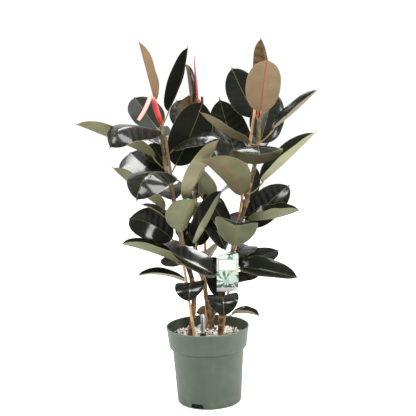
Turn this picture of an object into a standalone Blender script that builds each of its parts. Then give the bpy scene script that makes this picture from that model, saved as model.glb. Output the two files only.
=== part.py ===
"""A rubber-leaved ficus with three staked stems, standing in a round nursery pot.

Metres, +Z up. The pot stands on Z = 0 with its axis on the Z axis, and -Y is the front of the plant.
Places of leaves and stems are written in millimetres in the tables and scaled once, by MM.
"""
import math
import random

import bmesh
import bpy
import numpy as np

MM = 0.001
GAP = 0.0003

# Pot: a tapered body, a wider band above it and a rolled rim
POT_HEIGHT = 0.250
RIM_RADIUS = 0.135
BAND_RADIUS = 0.1265
BAND_BOTTOM = 0.181
BODY_TOP_RADIUS = 0.1165
BASE_RADIUS = 0.104
WALL = 0.0027
RIM_WIDTH = 0.0045
FLOOR = 0.003
POT_SIDES = 40
SLOTS = 3
SLOT_ANGLE = -113.0
SLOT_WIDTH = 0.045
SLOT_BOTTOM = 0.004
SLOT_TOP = 0.018

# Filling
SOIL_TOP = 0.2040
BED_TOP = 0.2155
DRAUGHT = 0.0004
SETTLING = 0.0010
SHOULDER = 0.008
BULGE = 0.0015
BED_BULGE = 0.0012
BED_FLARE = 0.0008
GRANULES = 120
GRANULE = 0.0095

# Stems and canes
CANE_RADIUS = 0.0046
CANE_FOOT = 0.060
STEM_SIDES = 8
PETIOLE_RADIUS = 0.0024

# Leaves
BLADE_THICKNESS = 0.0013
BLADE_STATIONS = (0.0, 0.04, 0.15, 0.35, 0.57, 0.78, 0.92, 1.0)

# Water gauge, tag and tie
GAUGE_PLACE = (-0.0155, -0.040)
GAUGE_RADIUS = 0.0065
GAUGE_TOP = 0.297
GAUGE_FOOT = 0.080
LINE_WIDTH = 0.0026
LINE_DEPTH = 0.0015
COLLAR_RADIUS = 0.0095
COLLAR_HEIGHT = 0.024
COLLAR_BOTTOM = BED_TOP + 0.002
LINE_BOTTOM = COLLAR_BOTTOM + COLLAR_HEIGHT + 0.0015
LINE_TOP = GAUGE_TOP - 0.008
TAG_LEFT = 0.0349
TAG_RIGHT = 0.1030
TAG_TOP = 0.4972
TAG_BOTTOM = 0.3755
TAG_CORNERS = (0.003, 0.020)
TAG_CORNER_STEPS = 5
TAG_LEAN = math.radians(-1.2)
TAG_FRONT = -0.0710
TAG_THICKNESS = 0.0008
TAG_HOLE = (0.0677, 0.4920)
TAG_HOLE_RADIUS = 0.0034
TIE_RADIUS = 0.0014
TIE_CENTRE = (0.0866, -0.0585, 0.4977)
TIE_LOOP = 0.0225
TIE_TILT = 0.0051
TIE_STATIONS = 28
TIE_SIDES = 6

# Leaf sheaths at the growing tips: centrelines and widths or radii, in millimetres
SHEATH_FOLD = 12.0
SHEATH_THICKNESS = 0.001
LEFT_SHEATH = [
    (-128, 14.6, 905), (-130, 4, 913), (-134, -9, 926), (-140, -14, 946), (-146, -17, 970), (-151, -21, 986),
    (-157, -25, 988), (-166, -28, 972), (-180, -30, 945), (-190, -34, 930), (-197, -36, 920),
]
LEFT_SHEATH_WIDTHS = [15, 18, 20, 20, 19, 17, 15, 15, 15, 14, 12]
MIDDLE_SHEATH = [(-9.8, 37.2, 968), (-12, 40, 1003), (-15.6, 44, 1056), (-17.6, 46, 1116)]
MIDDLE_SHEATH_RADII = [3.2, 4.0, 2.6, 0.7]
RIGHT_SHEATH = [(173.8, -39.4, 918.4), (176, -41, 935), (180, -41, 949)]
RIGHT_SHEATH_RADII = [3.0, 3.2, 0.8]

# Stem centrelines from the soil up, in millimetres
STEMS = {
    "left": [
        (-61, -50, 150), (-56, -50, 228), (-47, -46, 285), (-41, -41, 340), (-46, -36, 412), (-56, -29, 450),
        (-71, -18, 520), (-82, -10, 560), (-95, 5, 655), (-102, 10, 695), (-116, 16, 750), (-122, 20, 800),
        (-126, 22, 850), (-127, 22, 917),
    ],
    "middle": [
        (18, 74, 150), (15, 70, 220), (8, 65, 262), (-1, 61, 320), (-9, 58, 385), (-22, 55, 425),
        (-31, 54, 470), (-34, 52, 520), (-27, 50, 655), (-15, 46, 815), (-6, 45, 975),
    ],
    "right": [
        (38, -50, 150), (40, -50, 220), (45, -50, 300), (52, -48, 365), (69, -46, 425), (90, -45, 515),
        (113, -44, 595), (129, -42, 640), (141, -40, 690), (152, -39, 730), (164, -37, 780), (173, -36, 830),
        (181, -35, 917),
    ],
}
STEM_RADII = {"left": (9.5, 6.0), "middle": (9.0, 4.5), "right": (9.5, 5.5)}
CANES = {
    "left": ((-43, -66, 228), (-116, -4, 865)),
    "middle": ((-3, 85, 229), (4, 76, 988)),
    "right": ((46, -24, 220), (169, -12, 945)),
}

# One row a leaf, in millimetres and degrees: the height of its node on the stem; where the blade begins, its
# middle and its tip, all from that node; the way its upper side looks; its width; how far its halves rise.
LEAVES = {
    "left": [
        (905, (-19, -10, 73), (-40, -20, 164), (-64, -10, 264), (1, 0.1, 0.2), 100, 35),
        (900, (21, 0, 45), (65, 5, 138), (91, 10, 250), (-1, -1, 0.1), 84, 42),
        (885, (-15, 10, 5), (-55, 60, 55), (-95, 115, 110), (0, -1, 1), 110, 12),
        (875, (-5, -17, 7), (-114, -82, 24), (-156, -127, -39), (-0.15, -0.75, 1), 126, -18),
        (760, (-35, -10, 40), (-160, -15, 100), (-285, -25, 155), (0.35, 0.3, 1), 100, 45),
        (765, (-10, 25, 15), (-30, 75, 45), (-55, 125, 75), (0, -1, 1), 95, 12),
        (710, (-36, 5, 23), (-91, 65, 63), (-138, 135, 101), (0, -1, 1), 158, 8),
        (625, (-35, -15, 10), (-115, -35, 75), (-195, -45, 155), (0.5, 0.6, 0.6), 90, 30),
        (585, (-25, 5, 5), (-65, 15, 40), (-120, 25, 65), (0, 0, 1), 80, 20),
        (515, (-35, -5, 26), (-104, 30, 71), (-180, 80, 85), (-0.2, -0.9, 0.5), 110, 8),
        (455, (-31, -10, 12), (-117, -30, 53), (-210, -40, 83), (0.3, -0.03, 0.95), 100, 42),
        (455, (-15, 5, 5), (-50, 40, 5), (-90, 70, 10), (0, -0.6, 1), 65, 10),
        (395, (-17, 29, -1), (-93, 2, 32), (-175, -23, 37), (0, -0.18, 1), 62, 33),
        (410, (-6, -25, -6), (-5, -75, -4), (-10, -105, -51), (-0.2, -0.55, 1), 97, 6),
        (740, (26, -2, 33), (80, 2, 137), (120, 5, 235), (0.1, -1, 0.2), 128, 8),
        (800, (29, -15, 27), (109, -50, 62), (187, -85, 49), (0, -0.6, 1), 84, -8),
        (470, (-13, -38, 97), (3, -66, 152), (32, -94, 211), (-0.5, 0.75, -0.15), 128, 36),
        (515, (-17, 33, 29), (0, 64, 73), (17, 94, 121), (0, -0.8, 0.6), 40, 12),
        (645, (36, -78, 20), (90, -118, 120), (146, -122, 215), (-0.6, 0.6, 0.5), 92, 32),
        (830, (-10, 25, 10), (-30, 100, 45), (-45, 165, 55), (0, -0.6, 1), 100, 12),
        (650, (0, 25, 10), (-20, 85, 35), (-45, 130, 30), (0, -0.6, 1), 90, 12),
        (480, (-18, 22, 5), (-60, 75, 20), (-85, 130, 20), (0, -0.6, 1), 85, 12),
    ],
    "middle": [
        (880, (-5, 5, 15), (-25, 15, 70), (-30, 25, 115), (0, 1, 0.3), 85, 10),
        (870, (-15, 10, 15), (-45, 45, 60), (-70, 85, 110), (-0.2, -1, 0.6), 95, 10),
        (970, (-26, 5, -5), (-32, 3, 65), (-40, 0, 125), (1, -0.35, 0.1), 60, 40),
        (610, (49, -23, 33), (28, -21, 92), (-22, -7, 160), (0.5, 0.6, 0.5), 105, 12),
        (250, (23, 39, 15), (-12, 44, 20), (-50, 40, 14), (0, 0.85, 0.55), 50, 6),
        (715, (-75, -96, 35), (-144, -180, 40), (-178, -238, -34), (-0.2, -0.75, 1), 146, -12),
        (490, (-1, -41, 29), (47, -75, 108), (93, -101, 210), (-0.8, -0.37, 0.47), 112, 47),
        (685, (32, -11, -7), (66, -29, -65), (99, -45, -132), (0.5, -0.9, 0.8), 82, 8),
        (620, (15, -25, -5), (59, -49, -49), (96, -75, -128), (0.5, -0.9, 0.6), 78, 8),
        (490, (-5, -20, 15), (-20, -5, 50), (-35, 25, 95), (0, -1, 0.6), 65, 8),
        (450, (20, -10, 0), (45, -5, 30), (70, 0, 60), (-0.6, 0.6, 0.5), 50, 12),
        (470, (50, -35, 0), (65, -60, -55), (70, -70, -135), (0.1, -1, 0.2), 75, 8),
        (870, (-25, 20, 10), (-40, 90, 45), (-40, 155, 55), (0, -0.6, 1), 90, 12),
        (800, (-10, 20, 15), (-45, 90, 50), (-80, 150, 60), (0, -0.6, 1), 105, 12),
        (760, (45, 15, 15), (85, 85, 50), (110, 145, 55), (0, -0.6, 1), 100, 12),
        (640, (-5, 25, 12), (-15, 95, 50), (-25, 155, 60), (0, -0.6, 1), 95, 12),
        (600, (-5, 25, 5), (5, 95, 30), (15, 165, 25), (0, -0.6, 1), 95, 12),
        (500, (8, -11, 7), (37, -15, 60), (66, -17, 119), (-0.5, -1, 0.3), 52, 8),
        (430, (-5, 25, 5), (-15, 85, 25), (-30, 140, 15), (0, -0.6, 1), 85, 12),
    ],
    "right": [
        (905, (-5, 35, 15), (-45, 62, 90), (-80, 90, 175), (-0.2, -1, 0.4), 105, 8),
        (915, (3, -20, 18), (11, -50, 105), (22, -80, 179), (0, 1, 0.45), 108, 8),
        (910, (17, 15, 36), (28, 20, 147), (9, 25, 258), (-1, -1, 0), 92, 42),
        (835, (-25, -10, 5), (-106, -35, 39), (-181, -50, 110), (0.4, 0.4, 0.8), 66, 30),
        (640, (-13, -28, 39), (-54, -102, 126), (-140, -150, 161), (0.4, 0.8, 0.6), 118, 15),
        (680, (44, -10, 37), (118, -35, 101), (214, -50, 194), (-0.52, -0.28, 0.8), 102, 50),
        (840, (46, -5, 41), (113, -15, 92), (189, -25, 162), (-0.62, -0.32, 0.71), 68, 41),
        (830, (11, 35, 8), (37, 75, 87), (67, 110, 172), (0.4, -1, 0.4), 118, 8),
        (745, (-39, 25, 9), (-66, 85, 114), (-97, 110, 240), (0.25, -1, 0.35), 138, 8),
        (435, (-40, -14, -6), (-111, -54, 36), (-184, -69, 85), (0.29, -0.63, 0.72), 100, 29),
        (770, (5, -15, 4), (3, -100, 65), (6, -180, 40), (0, -0.12, 1), 158, -6),
        (565, (33, 15, 11), (99, 45, 76), (176, 85, 132), (0.1, -0.9, 0.6), 103, 8),
        (600, (20, -20, 0), (101, -40, 7), (184, -55, 33), (-0.12, -0.1, 0.98), 108, 48),
        (585, (10, 40, 4), (-8, 100, 7), (-32, 144, 10), (0, -1, 0.6), 60, 8),
        (495, (5, -15, 23), (11, -80, 103), (8, -135, 103), (0.2, 0.25, 1), 134, 10),
        (710, (-32, 8, 5), (-62, 85, -12), (-95, 140, -45), (-0.3, -0.5, 0.8), 80, 12),
        (445, (32, 8, 5), (95, 60, 20), (170, 105, 35), (0, -0.6, 1), 90, 8),
        (440, (35, -12, 10), (103, -35, 3), (222, -50, -23), (0, -0.7, 1), 92, 25),
        (395, (10, 0, 5), (55, 5, 20), (110, 5, 20), (0, -0.5, 1), 55, 8),
        (355, (-7, -10, 0), (-1, -65, 6), (1, -95, -46), (0.05, -0.8, 1), 102, 13),
        (290, (35, -5, 10), (78, -20, 14), (122, -30, 4), (0, 0.02, 1), 66, 32),
        (645, (13, 28, 6), (25, 55, 54), (44, 85, 112), (0, -1, 0.3), 50, 8),
        (800, (8, 30, 10), (5, 100, 50), (-10, 165, 65), (0, -0.6, 1), 95, 12),
        (600, (15, 25, 5), (60, 95, 30), (95, 155, 30), (0, -0.6, 1), 100, 12),
        (470, (28, 22, 5), (50, 90, 25), (75, 150, 15), (0, -0.6, 1), 85, 12),
    ],
}


def unit(vectors):
    """The same vectors at length one."""
    return vectors / np.linalg.norm(vectors, axis=-1, keepdims=True)


def clear_scene():
    """Remove whatever the file opened with."""
    for leftover in list(bpy.data.objects):
        bpy.data.objects.remove(leftover, do_unlink=True)


def material(name, color, roughness, metallic=0.0):
    """A plain Principled material."""
    made = bpy.data.materials.new(name)
    made.use_nodes = True
    shader = made.node_tree.nodes["Principled BSDF"]
    shader.inputs["Base Color"].default_value = (*color, 1.0)
    shader.inputs["Roughness"].default_value = roughness
    shader.inputs["Metallic"].default_value = metallic
    return made


def new_object(name, vertices, faces, finish=None):
    """An object at the origin from points and faces, with its faces pointing out."""
    mesh = bpy.data.meshes.new(name)
    mesh.from_pydata([tuple(map(float, point)) for point in vertices], [], [tuple(face) for face in faces])
    work = bmesh.new()
    work.from_mesh(mesh)
    bmesh.ops.recalc_face_normals(work, faces=work.faces)
    work.to_mesh(mesh)
    work.free()
    piece = bpy.data.objects.new(name, mesh)
    bpy.context.scene.collection.objects.link(piece)
    if finish:
        mesh.materials.append(finish)
    return piece


def smooth(piece, angle=35.0):
    """Round shading, with edges sharper than the angle kept."""
    piece.data.shade_smooth()
    piece.data.set_sharp_from_angle(angle=math.radians(angle))


def grid_faces(rows, columns, first=0):
    """Quads of a grid of points numbered row by row."""
    row, column = np.mgrid[0:rows - 1, 0:columns - 1]
    corner = first + row * columns + column
    return np.stack([corner, corner + 1, corner + columns + 1, corner + columns], -1).reshape(-1, 4)


def turned(name, profile, sides, finish):
    """A solid turned about the Z axis from a profile of (radius, height), from the axis round to the axis."""
    angles = np.arange(sides) * math.tau / sides
    rings = [(radius, height) for radius, height in profile if radius > 0]
    points = [(radius * math.cos(angle), radius * math.sin(angle), height)
              for radius, height in rings for angle in angles]
    faces = []
    for ring in range(len(rings) - 1):
        for side in range(sides):
            here = ring * sides + side
            beside = ring * sides + (side + 1) % sides
            faces.append((here, beside, beside + sides, here + sides))
    faces.append(tuple(range(sides)))
    faces.append(tuple(range((len(rings) - 1) * sides, len(rings) * sides)))
    return new_object(name, points, faces, finish)


def tube(name, path, radii, sides, finish=None):
    """A solid of round section carried along a path, with flat ends."""
    path = np.asarray(path, float)
    along = unit(np.gradient(path, axis=0))
    aside = unit(np.cross(along, (0.03, 1.0, 0.02)))
    across = np.cross(aside, along)
    angle = (np.arange(sides) * math.tau / sides)[None, :, None]
    radii = np.broadcast_to(np.asarray(radii, float), len(path))[:, None, None]
    points = path[:, None] + radii * (np.cos(angle) * aside[:, None] + np.sin(angle) * across[:, None])
    faces = []
    for ring in range(len(path) - 1):
        for side in range(sides):
            here = ring * sides + side
            beside = ring * sides + (side + 1) % sides
            faces.append((here, beside, beside + sides, here + sides))
    faces.append(tuple(range(sides)))
    faces.append(tuple(range((len(path) - 1) * sides, len(path) * sides)))
    return new_object(name, points.reshape(-1, 3), faces, finish)


def boolean(piece, operation, cutter=None, collection=None, solver="EXACT"):
    """Apply one Boolean with an object or a collection to a piece."""
    change = piece.modifiers.new("boolean", "BOOLEAN")
    change.operation = operation
    change.solver = solver
    if collection:
        change.operand_type = "COLLECTION"
        change.collection = collection
    else:
        change.object = cutter
    bpy.context.view_layer.update()
    evaluated = piece.evaluated_get(bpy.context.evaluated_depsgraph_get())
    mesh = bpy.data.meshes.new_from_object(evaluated)
    piece.modifiers.clear()
    old = piece.data
    piece.data = mesh
    bpy.data.meshes.remove(old)


def fuse(piece, others):
    """Union the other objects into the piece, and remove them."""
    group = bpy.data.collections.new("fused")
    bpy.context.scene.collection.children.link(group)
    for other in others:
        bpy.context.scene.collection.objects.unlink(other)
        group.objects.link(other)
    boolean(piece, "UNION", collection=group, solver="MANIFOLD")
    for other in others:
        bpy.data.objects.remove(other, do_unlink=True)
    bpy.data.collections.remove(group)


def cut(piece, cutter, solver="EXACT"):
    """Take the cutter out of the piece, and remove the cutter."""
    boolean(piece, "DIFFERENCE", cutter=cutter, solver=solver)
    bpy.data.objects.remove(cutter, do_unlink=True)


def stem_path(side):
    """A stem's centreline in metres."""
    return np.array(STEMS[side], float) * MM


def stem_radii(side):
    """The stem's radius at each point, thinner with height."""
    low, high = STEM_RADII[side]
    heights = stem_path(side)[:, 2]
    share = (heights - heights[0]) / (heights[-1] - heights[0])
    return (low + (high - low) * share ** 0.8) * MM


def stem_point(side, height):
    """The centre of the stem at a height in metres."""
    path = stem_path(side)
    return np.array([np.interp(height, path[:, 2], path[:, axis]) for axis in range(3)])


def cane_path(side, lengthened=0.0):
    """A cane's straight centreline from its foot in the soil to its tip."""
    low, high = (np.array(end, float) * MM for end in CANES[side])
    foot = low + (high - low) * (CANE_FOOT - lengthened - low[2]) / (high[2] - low[2])
    return np.array([foot, high])


def half_width(share):
    """Half the blade's width along it, for a width of one: oblong with a round base and a short drip tip."""
    body_end = 0.955
    along = np.clip(share / body_end, 0.0, 1.0)
    body = (1.0 - np.abs(2.0 * along ** 0.95 - 1.0) ** 2.3) ** 0.6
    tip = 0.022 + 0.05 * np.clip((1.0 - share) / 0.1, 0.0, 1.0)
    return 0.5 * np.maximum(body, tip)


def strip_mesh(name, top, under, finish=None):
    """A thin closed solid from two grids of points, three across and any number along."""
    rows = len(top)
    quads = grid_faces(rows, 3)
    upper = np.concatenate([quads[:, (0, 1, 2)], quads[:, (0, 2, 3)]])
    lower = upper[:, ::-1] + rows * 3
    left = np.arange(rows) * 3
    rim = np.concatenate([np.arange(3), left[1:] + 2, left[-1] + np.array((1, 0)), left[-2:0:-1]])
    following = np.roll(rim, -1)
    walls = np.stack([rim, following, following + rows * 3, rim + rows * 3], -1)
    faces = [tuple(face) for face in np.concatenate([upper, lower])] + [tuple(face) for face in walls]
    return new_object(name, np.concatenate([top.reshape(-1, 3), under.reshape(-1, 3)]), faces, finish)


def leaf(name, side, height, begin, middle, tip, face, width, fold):
    """One leaf in one closed body: a six-sided stalk from the middle of the stem, running into the blade.

    The midrib is the quadratic curve through the blade's three points. Across it, the blade runs sideways
    by half its width times cos(fold) and rises along its normal by half its width times sin(fold).
    """
    node = stem_point(side, height * MM)
    begin, middle, tip = (node + np.array(point, float) * MM for point in (begin, middle, tip))
    bend = 2.0 * middle - (begin + tip) / 2.0
    share = np.array(BLADE_STATIONS)[:, None]
    midrib = (1 - share) ** 2 * begin + 2 * share * (1 - share) * bend + share ** 2 * tip
    along = unit((1 - share) * (bend - begin) + share * (tip - bend))
    aside = np.broadcast_to(unit(np.cross(tip - begin, np.array(face, float))), along.shape)
    normal = unit(np.cross(aside, along))
    reach = width * MM * half_width(share)[:, None]
    across = np.array((-1.0, 0.0, 1.0))[None, :, None]
    angle = math.radians(fold)
    sheet = midrib[:, None] + aside[:, None] * across * reach * math.cos(angle)
    sheet = sheet + normal[:, None] * np.abs(across) * reach * math.sin(angle)
    thick = normal[:, None] * BLADE_THICKNESS / 2

    sag = np.array((0.0, 0.0, -0.15)) * np.linalg.norm(begin - node)
    stalk = np.array([node, (node + begin) / 2 + sag, begin - 0.006 * along[0]])
    forward = unit(np.gradient(np.vstack([stalk, begin]), axis=0))[:3]
    sideways = unit(aside[0] - (forward @ aside[0])[:, None] * forward)
    upward = np.cross(sideways, forward)
    radius = (PETIOLE_RADIUS * np.array((1.25, 1.0, 1.0)))[:, None, None]
    spread = 0.87 * across * sideways[:, None]
    lift = np.array((0.5, 1.0, 0.5))[None, :, None] * upward[:, None]
    top = np.concatenate([stalk[:, None] + radius * (spread + lift), sheet + thick])
    under = np.concatenate([stalk[:, None] + radius * (spread - lift), sheet - thick])
    return strip_mesh(name, top, under)


def leaf_pieces(side):
    """Every leaf of a stem."""
    pieces = []
    for number, row in enumerate(LEAVES[side]):
        pieces.append(leaf(f"{side}_{number:02d}_blade", side, *row))
    return pieces


def leafy_stem(side, finish):
    """One stem with all its leaves, fused into one body."""
    trunk = tube(f"leafy_stem_{side}", stem_path(side), stem_radii(side), STEM_SIDES, finish)
    fuse(trunk, leaf_pieces(side))
    return trunk


def make_canes():
    """Three straight support canes pushed into the soil."""
    finish = material("cane", (0.50, 0.34, 0.20), 0.6)
    for side in CANES:
        cane = tube(f"cane_{side}", cane_path(side), CANE_RADIUS, 10, finish)
        smooth(cane)


def make_pot():
    """The pot: a turned cup with a floor, cut through by drain slots at its foot."""
    finish = material("pot_plastic", (0.135, 0.160, 0.125), 0.5)
    profile = [
        (BASE_RADIUS - 0.004, 0.0), (BASE_RADIUS, 0.004), (BODY_TOP_RADIUS, BAND_BOTTOM - 0.003),
        (BAND_RADIUS - 0.003, BAND_BOTTOM), (BAND_RADIUS, BAND_BOTTOM + 0.003),
        (RIM_RADIUS - 0.0015, POT_HEIGHT - 0.007), (RIM_RADIUS, POT_HEIGHT - 0.005),
        (RIM_RADIUS, POT_HEIGHT - 0.002), (RIM_RADIUS - 0.0015, POT_HEIGHT),
        (RIM_RADIUS - RIM_WIDTH, POT_HEIGHT), (RIM_RADIUS - RIM_WIDTH, POT_HEIGHT - 0.006),
        (BAND_RADIUS - WALL, BAND_BOTTOM + 0.004), (BODY_TOP_RADIUS - WALL, BAND_BOTTOM - 0.001),
        (BASE_RADIUS - WALL, FLOOR),
    ]
    pot = turned("pot", profile, POT_SIDES, finish)
    for number in range(SLOTS):
        angle = math.radians(SLOT_ANGLE + number * 360.0 / SLOTS)
        out = np.array((math.cos(angle), math.sin(angle), 0.0))
        along = np.array((-math.sin(angle), math.cos(angle), 0.0))
        corners = [(-0.5, SLOT_BOTTOM), (0.5, SLOT_BOTTOM), (0.4, SLOT_TOP), (-0.4, SLOT_TOP)]
        points = [out * depth + along * share * SLOT_WIDTH + np.array((0.0, 0.0, height))
                  for depth in (BASE_RADIUS - 0.015, BASE_RADIUS + 0.01) for share, height in corners]
        faces = [(0, 1, 2, 3), (4, 5, 6, 7), (0, 1, 5, 4), (1, 2, 6, 5), (2, 3, 7, 6), (3, 0, 4, 7)]
        cut(pot, new_object("slot", points, faces))
    smooth(pot)


def hole_cutters(top):
    """A slightly wider copy of everything that stands in the filling, up to a height."""
    cutters = []
    for side in STEMS:
        path = stem_path(side)[:3]
        first = path[0] - np.array((0.0, 0.0, GAP))
        path = np.vstack([first, path[1:]])
        cutters.append(tube("hole", path, stem_radii(side)[:3] + GAP * 1.3, STEM_SIDES))
        low, high = cane_path(side, lengthened=GAP)
        middle = low + (high - low) * (top + 0.03 - low[2]) / (high[2] - low[2])
        cutters.append(tube("hole", [low, middle], CANE_RADIUS + GAP * 1.3, 10))
    x, y = GAUGE_PLACE
    path = [(x, y, GAUGE_FOOT - GAP), (x, y, top + 0.03)]
    cutters.append(tube("hole", path, COLLAR_RADIUS + GAP * 1.3, 16))
    return cutters


def make_soil():
    """The compost that fills the pot: one turned solid with a hole for each stem, each cane and the gauge."""
    finish = material("compost", (0.045, 0.030, 0.020), 0.95)
    inset = WALL + GAP
    waist = BODY_TOP_RADIUS - inset - DRAUGHT
    profile = [
        (BASE_RADIUS - inset - SETTLING, FLOOR + GAP),
        (waist, BAND_BOTTOM - SHOULDER / 4), (waist, BAND_BOTTOM + SHOULDER / 2),
        (BAND_RADIUS - inset - SETTLING, BAND_BOTTOM + SHOULDER),
        (BAND_RADIUS - inset + BULGE, SOIL_TOP),
    ]
    soil = turned("compost", profile, POT_SIDES, finish)
    for cutter in hole_cutters(SOIL_TOP):
        cut(soil, cutter, solver="MANIFOLD")
    smooth(soil)


def granule(number, rng):
    """One squashed eight-sided granule, turned at random, half sunk in the bed."""
    limit = BAND_RADIUS - WALL - GRANULE - 0.001
    radius = limit * math.sqrt((number + 0.5) / GRANULES)
    angle = number * math.radians(137.508)
    size = GRANULE * rng.uniform(0.75, 1.1)
    spin = rng.uniform(0.0, math.tau)
    tilt = rng.uniform(-0.5, 0.5)
    corners = [(1, 0, 0), (-1, 0, 0), (0, 0.85, 0), (0, -0.85, 0), (0, 0, 0.75), (0, 0, -0.75)]
    points = size * np.array(corners)
    turn_z = np.array([(math.cos(spin), -math.sin(spin), 0), (math.sin(spin), math.cos(spin), 0), (0, 0, 1)])
    turn_x = np.array([(1, 0, 0), (0, math.cos(tilt), -math.sin(tilt)), (0, math.sin(tilt), math.cos(tilt))])
    centre = (radius * math.cos(angle), radius * math.sin(angle), BED_TOP + rng.uniform(-0.002, 0.001))
    points = points @ (turn_z @ turn_x).T + np.array(centre)
    faces = [(0, 2, 4), (2, 1, 4), (1, 3, 4), (3, 0, 4), (2, 0, 5), (1, 2, 5), (3, 1, 5), (0, 3, 5)]
    return new_object("granule", points, faces)


def make_top_dressing():
    """The pale granules over the compost: a thin bed with larger ones standing out of it."""
    finish = material("granules", (0.60, 0.54, 0.46), 0.85)
    edge = BAND_RADIUS - WALL - GAP + BED_BULGE
    profile = [(edge, SOIL_TOP + GAP), (edge + BED_FLARE, BED_TOP)]
    bed = turned("top_dressing", profile, POT_SIDES, finish)
    rng = random.Random(5)
    fuse(bed, [granule(number, rng) for number in range(GRANULES)])
    for cutter in hole_cutters(BED_TOP):
        cut(bed, cutter, solver="MANIFOLD")


def make_gauge():
    """The water gauge: a pale tube with a blue float line let into its front, and a dark collar."""
    x, y = GAUGE_PLACE
    white = material("gauge_tube", (0.62, 0.64, 0.64), 0.35)
    blue = material("gauge_float", (0.03, 0.16, 0.55), 0.4)
    green = material("gauge_collar", (0.03, 0.06, 0.04), 0.5)
    body = tube("gauge_tube", [(x, y, GAUGE_FOOT), (x, y, GAUGE_TOP)], GAUGE_RADIUS, 16, white)
    front = y - GAUGE_RADIUS
    low = (x - LINE_WIDTH / 2, front + 0.0001, LINE_BOTTOM + GAP)
    high = (x + LINE_WIDTH / 2, front + LINE_DEPTH, LINE_TOP - GAP)
    low_cut = (x - LINE_WIDTH / 2 - GAP, front - 0.002, LINE_BOTTOM)
    high_cut = (x + LINE_WIDTH / 2 + GAP, front + LINE_DEPTH + GAP, LINE_TOP)
    cut(body, box("groove", low_cut, high_cut))
    smooth(body)
    box("gauge_float", low, high, blue)
    top = COLLAR_BOTTOM + COLLAR_HEIGHT
    collar = tube("gauge_collar", [(x, y, COLLAR_BOTTOM), (x, y, top)], COLLAR_RADIUS, 16, green)
    cut(collar, tube("bore", [(x, y, COLLAR_BOTTOM - 0.01), (x, y, top + 0.01)], GAUGE_RADIUS + GAP, 16))
    smooth(collar)


def box(name, low, high, finish=None):
    """A rectangular block between two corners."""
    points = [(x, y, z) for z in (low[2], high[2]) for y in (low[1], high[1]) for x in (low[0], high[0])]
    faces = [(0, 1, 3, 2), (4, 5, 7, 6), (0, 1, 5, 4), (1, 3, 7, 5), (3, 2, 6, 7), (2, 0, 4, 6)]
    return new_object(name, points, faces, finish)


def make_tag():
    """The plant tag: a thin card with rounded top corners and a hole, a little askew on its tie."""
    card_finish = material("tag_card", (0.72, 0.78, 0.72), 0.45)
    tie_finish = material("tag_tie", (0.01, 0.01, 0.01), 0.5)
    right, left = TAG_CORNERS
    outline = [(TAG_LEFT, TAG_BOTTOM), (TAG_RIGHT, TAG_BOTTOM)]
    for centre_x, reach, start in ((TAG_RIGHT - right, right, 0), (TAG_LEFT + left, left, 90)):
        for step in range(TAG_CORNER_STEPS + 1):
            angle = math.radians(start + step * 90 / TAG_CORNER_STEPS)
            outline.append((centre_x + reach * math.cos(angle), TAG_TOP - reach + reach * math.sin(angle)))
    lean = np.array(((math.cos(TAG_LEAN), math.sin(TAG_LEAN)), (-math.sin(TAG_LEAN), math.cos(TAG_LEAN))))
    outline = ((np.array(outline) - TAG_HOLE) @ lean + TAG_HOLE).tolist()
    count = len(outline)
    points = [(x, y, z) for y in (TAG_FRONT, TAG_FRONT + TAG_THICKNESS) for x, z in outline]
    faces = [tuple(range(count)), tuple(range(count, 2 * count))]
    faces += [(k, (k + 1) % count, (k + 1) % count + count, k + count) for k in range(count)]
    card = new_object("tag_card", points, faces, card_finish)
    x, z = TAG_HOLE
    line = [(x, TAG_FRONT - 0.01, z), (x + 0.0001, TAG_FRONT + 0.01, z)]
    cut(card, tube("hole", line, TAG_HOLE_RADIUS, 12))
    make_tie(tie_finish)


def make_tie(finish):
    """The tie: a round cord in a tilted closed loop, through the card's hole and round the stem."""
    angle = (np.arange(TIE_STATIONS) * math.tau / TIE_STATIONS)[:, None]
    ring = np.array(TIE_CENTRE) + np.cos(angle) * np.array((TIE_LOOP, 0.0, TIE_TILT))
    ring = ring + np.sin(angle) * np.array((0.0, TIE_LOOP, 0.0))
    along = unit(np.roll(ring, -1, 0) - np.roll(ring, 1, 0))
    upward = unit(np.cross(np.cross(along, (0.0, 0.0, 1.0)), along))
    outward = np.cross(along, upward)
    turn = (np.arange(TIE_SIDES) * math.tau / TIE_SIDES)[None, :, None]
    points = ring[:, None] + TIE_RADIUS * (np.cos(turn) * upward[:, None] + np.sin(turn) * outward[:, None])
    count = TIE_STATIONS * TIE_SIDES
    faces = []
    for station in range(TIE_STATIONS):
        for side in range(TIE_SIDES):
            here = station * TIE_SIDES + side
            beside = station * TIE_SIDES + (side + 1) % TIE_SIDES
            faces.append((here, beside, (beside + TIE_SIDES) % count, (here + TIE_SIDES) % count))
    tie = new_object("tag_tie", points.reshape(-1, 3), faces, finish)
    smooth(tie, 60)


def make_sheaths():
    """The red leaf sheaths at the three growing tips."""
    red = material("sheath_red", (0.66, 0.12, 0.10), 0.45)
    ribbon("sheath_left", np.array(LEFT_SHEATH) * MM, np.array(LEFT_SHEATH_WIDTHS) * MM, red)
    spike = tube("sheath_middle", np.array(MIDDLE_SHEATH) * MM, np.array(MIDDLE_SHEATH_RADII) * MM, 6, red)
    smooth(spike, 60)
    bud = tube("sheath_right", np.array(RIGHT_SHEATH) * MM, np.array(RIGHT_SHEATH_RADII) * MM, 6, red)
    smooth(bud, 60)


def ribbon(name, path, widths, finish):
    """A thin strip along a path, its two halves raised a little from the middle."""
    along = unit(np.gradient(path, axis=0))[:, None]
    aside = unit(np.cross(along, (0.0, 1.0, 0.0)))
    normal = np.cross(aside, along)
    reach = widths[:, None, None] * np.array((-0.5, 0.0, 0.5))[None, :, None]
    angle = math.radians(SHEATH_FOLD)
    sheet = path[:, None] + aside * reach * math.cos(angle) + normal * np.abs(reach) * math.sin(angle)
    thick = normal * SHEATH_THICKNESS / 2
    return strip_mesh(name, sheet + thick, sheet - thick, finish)


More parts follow.
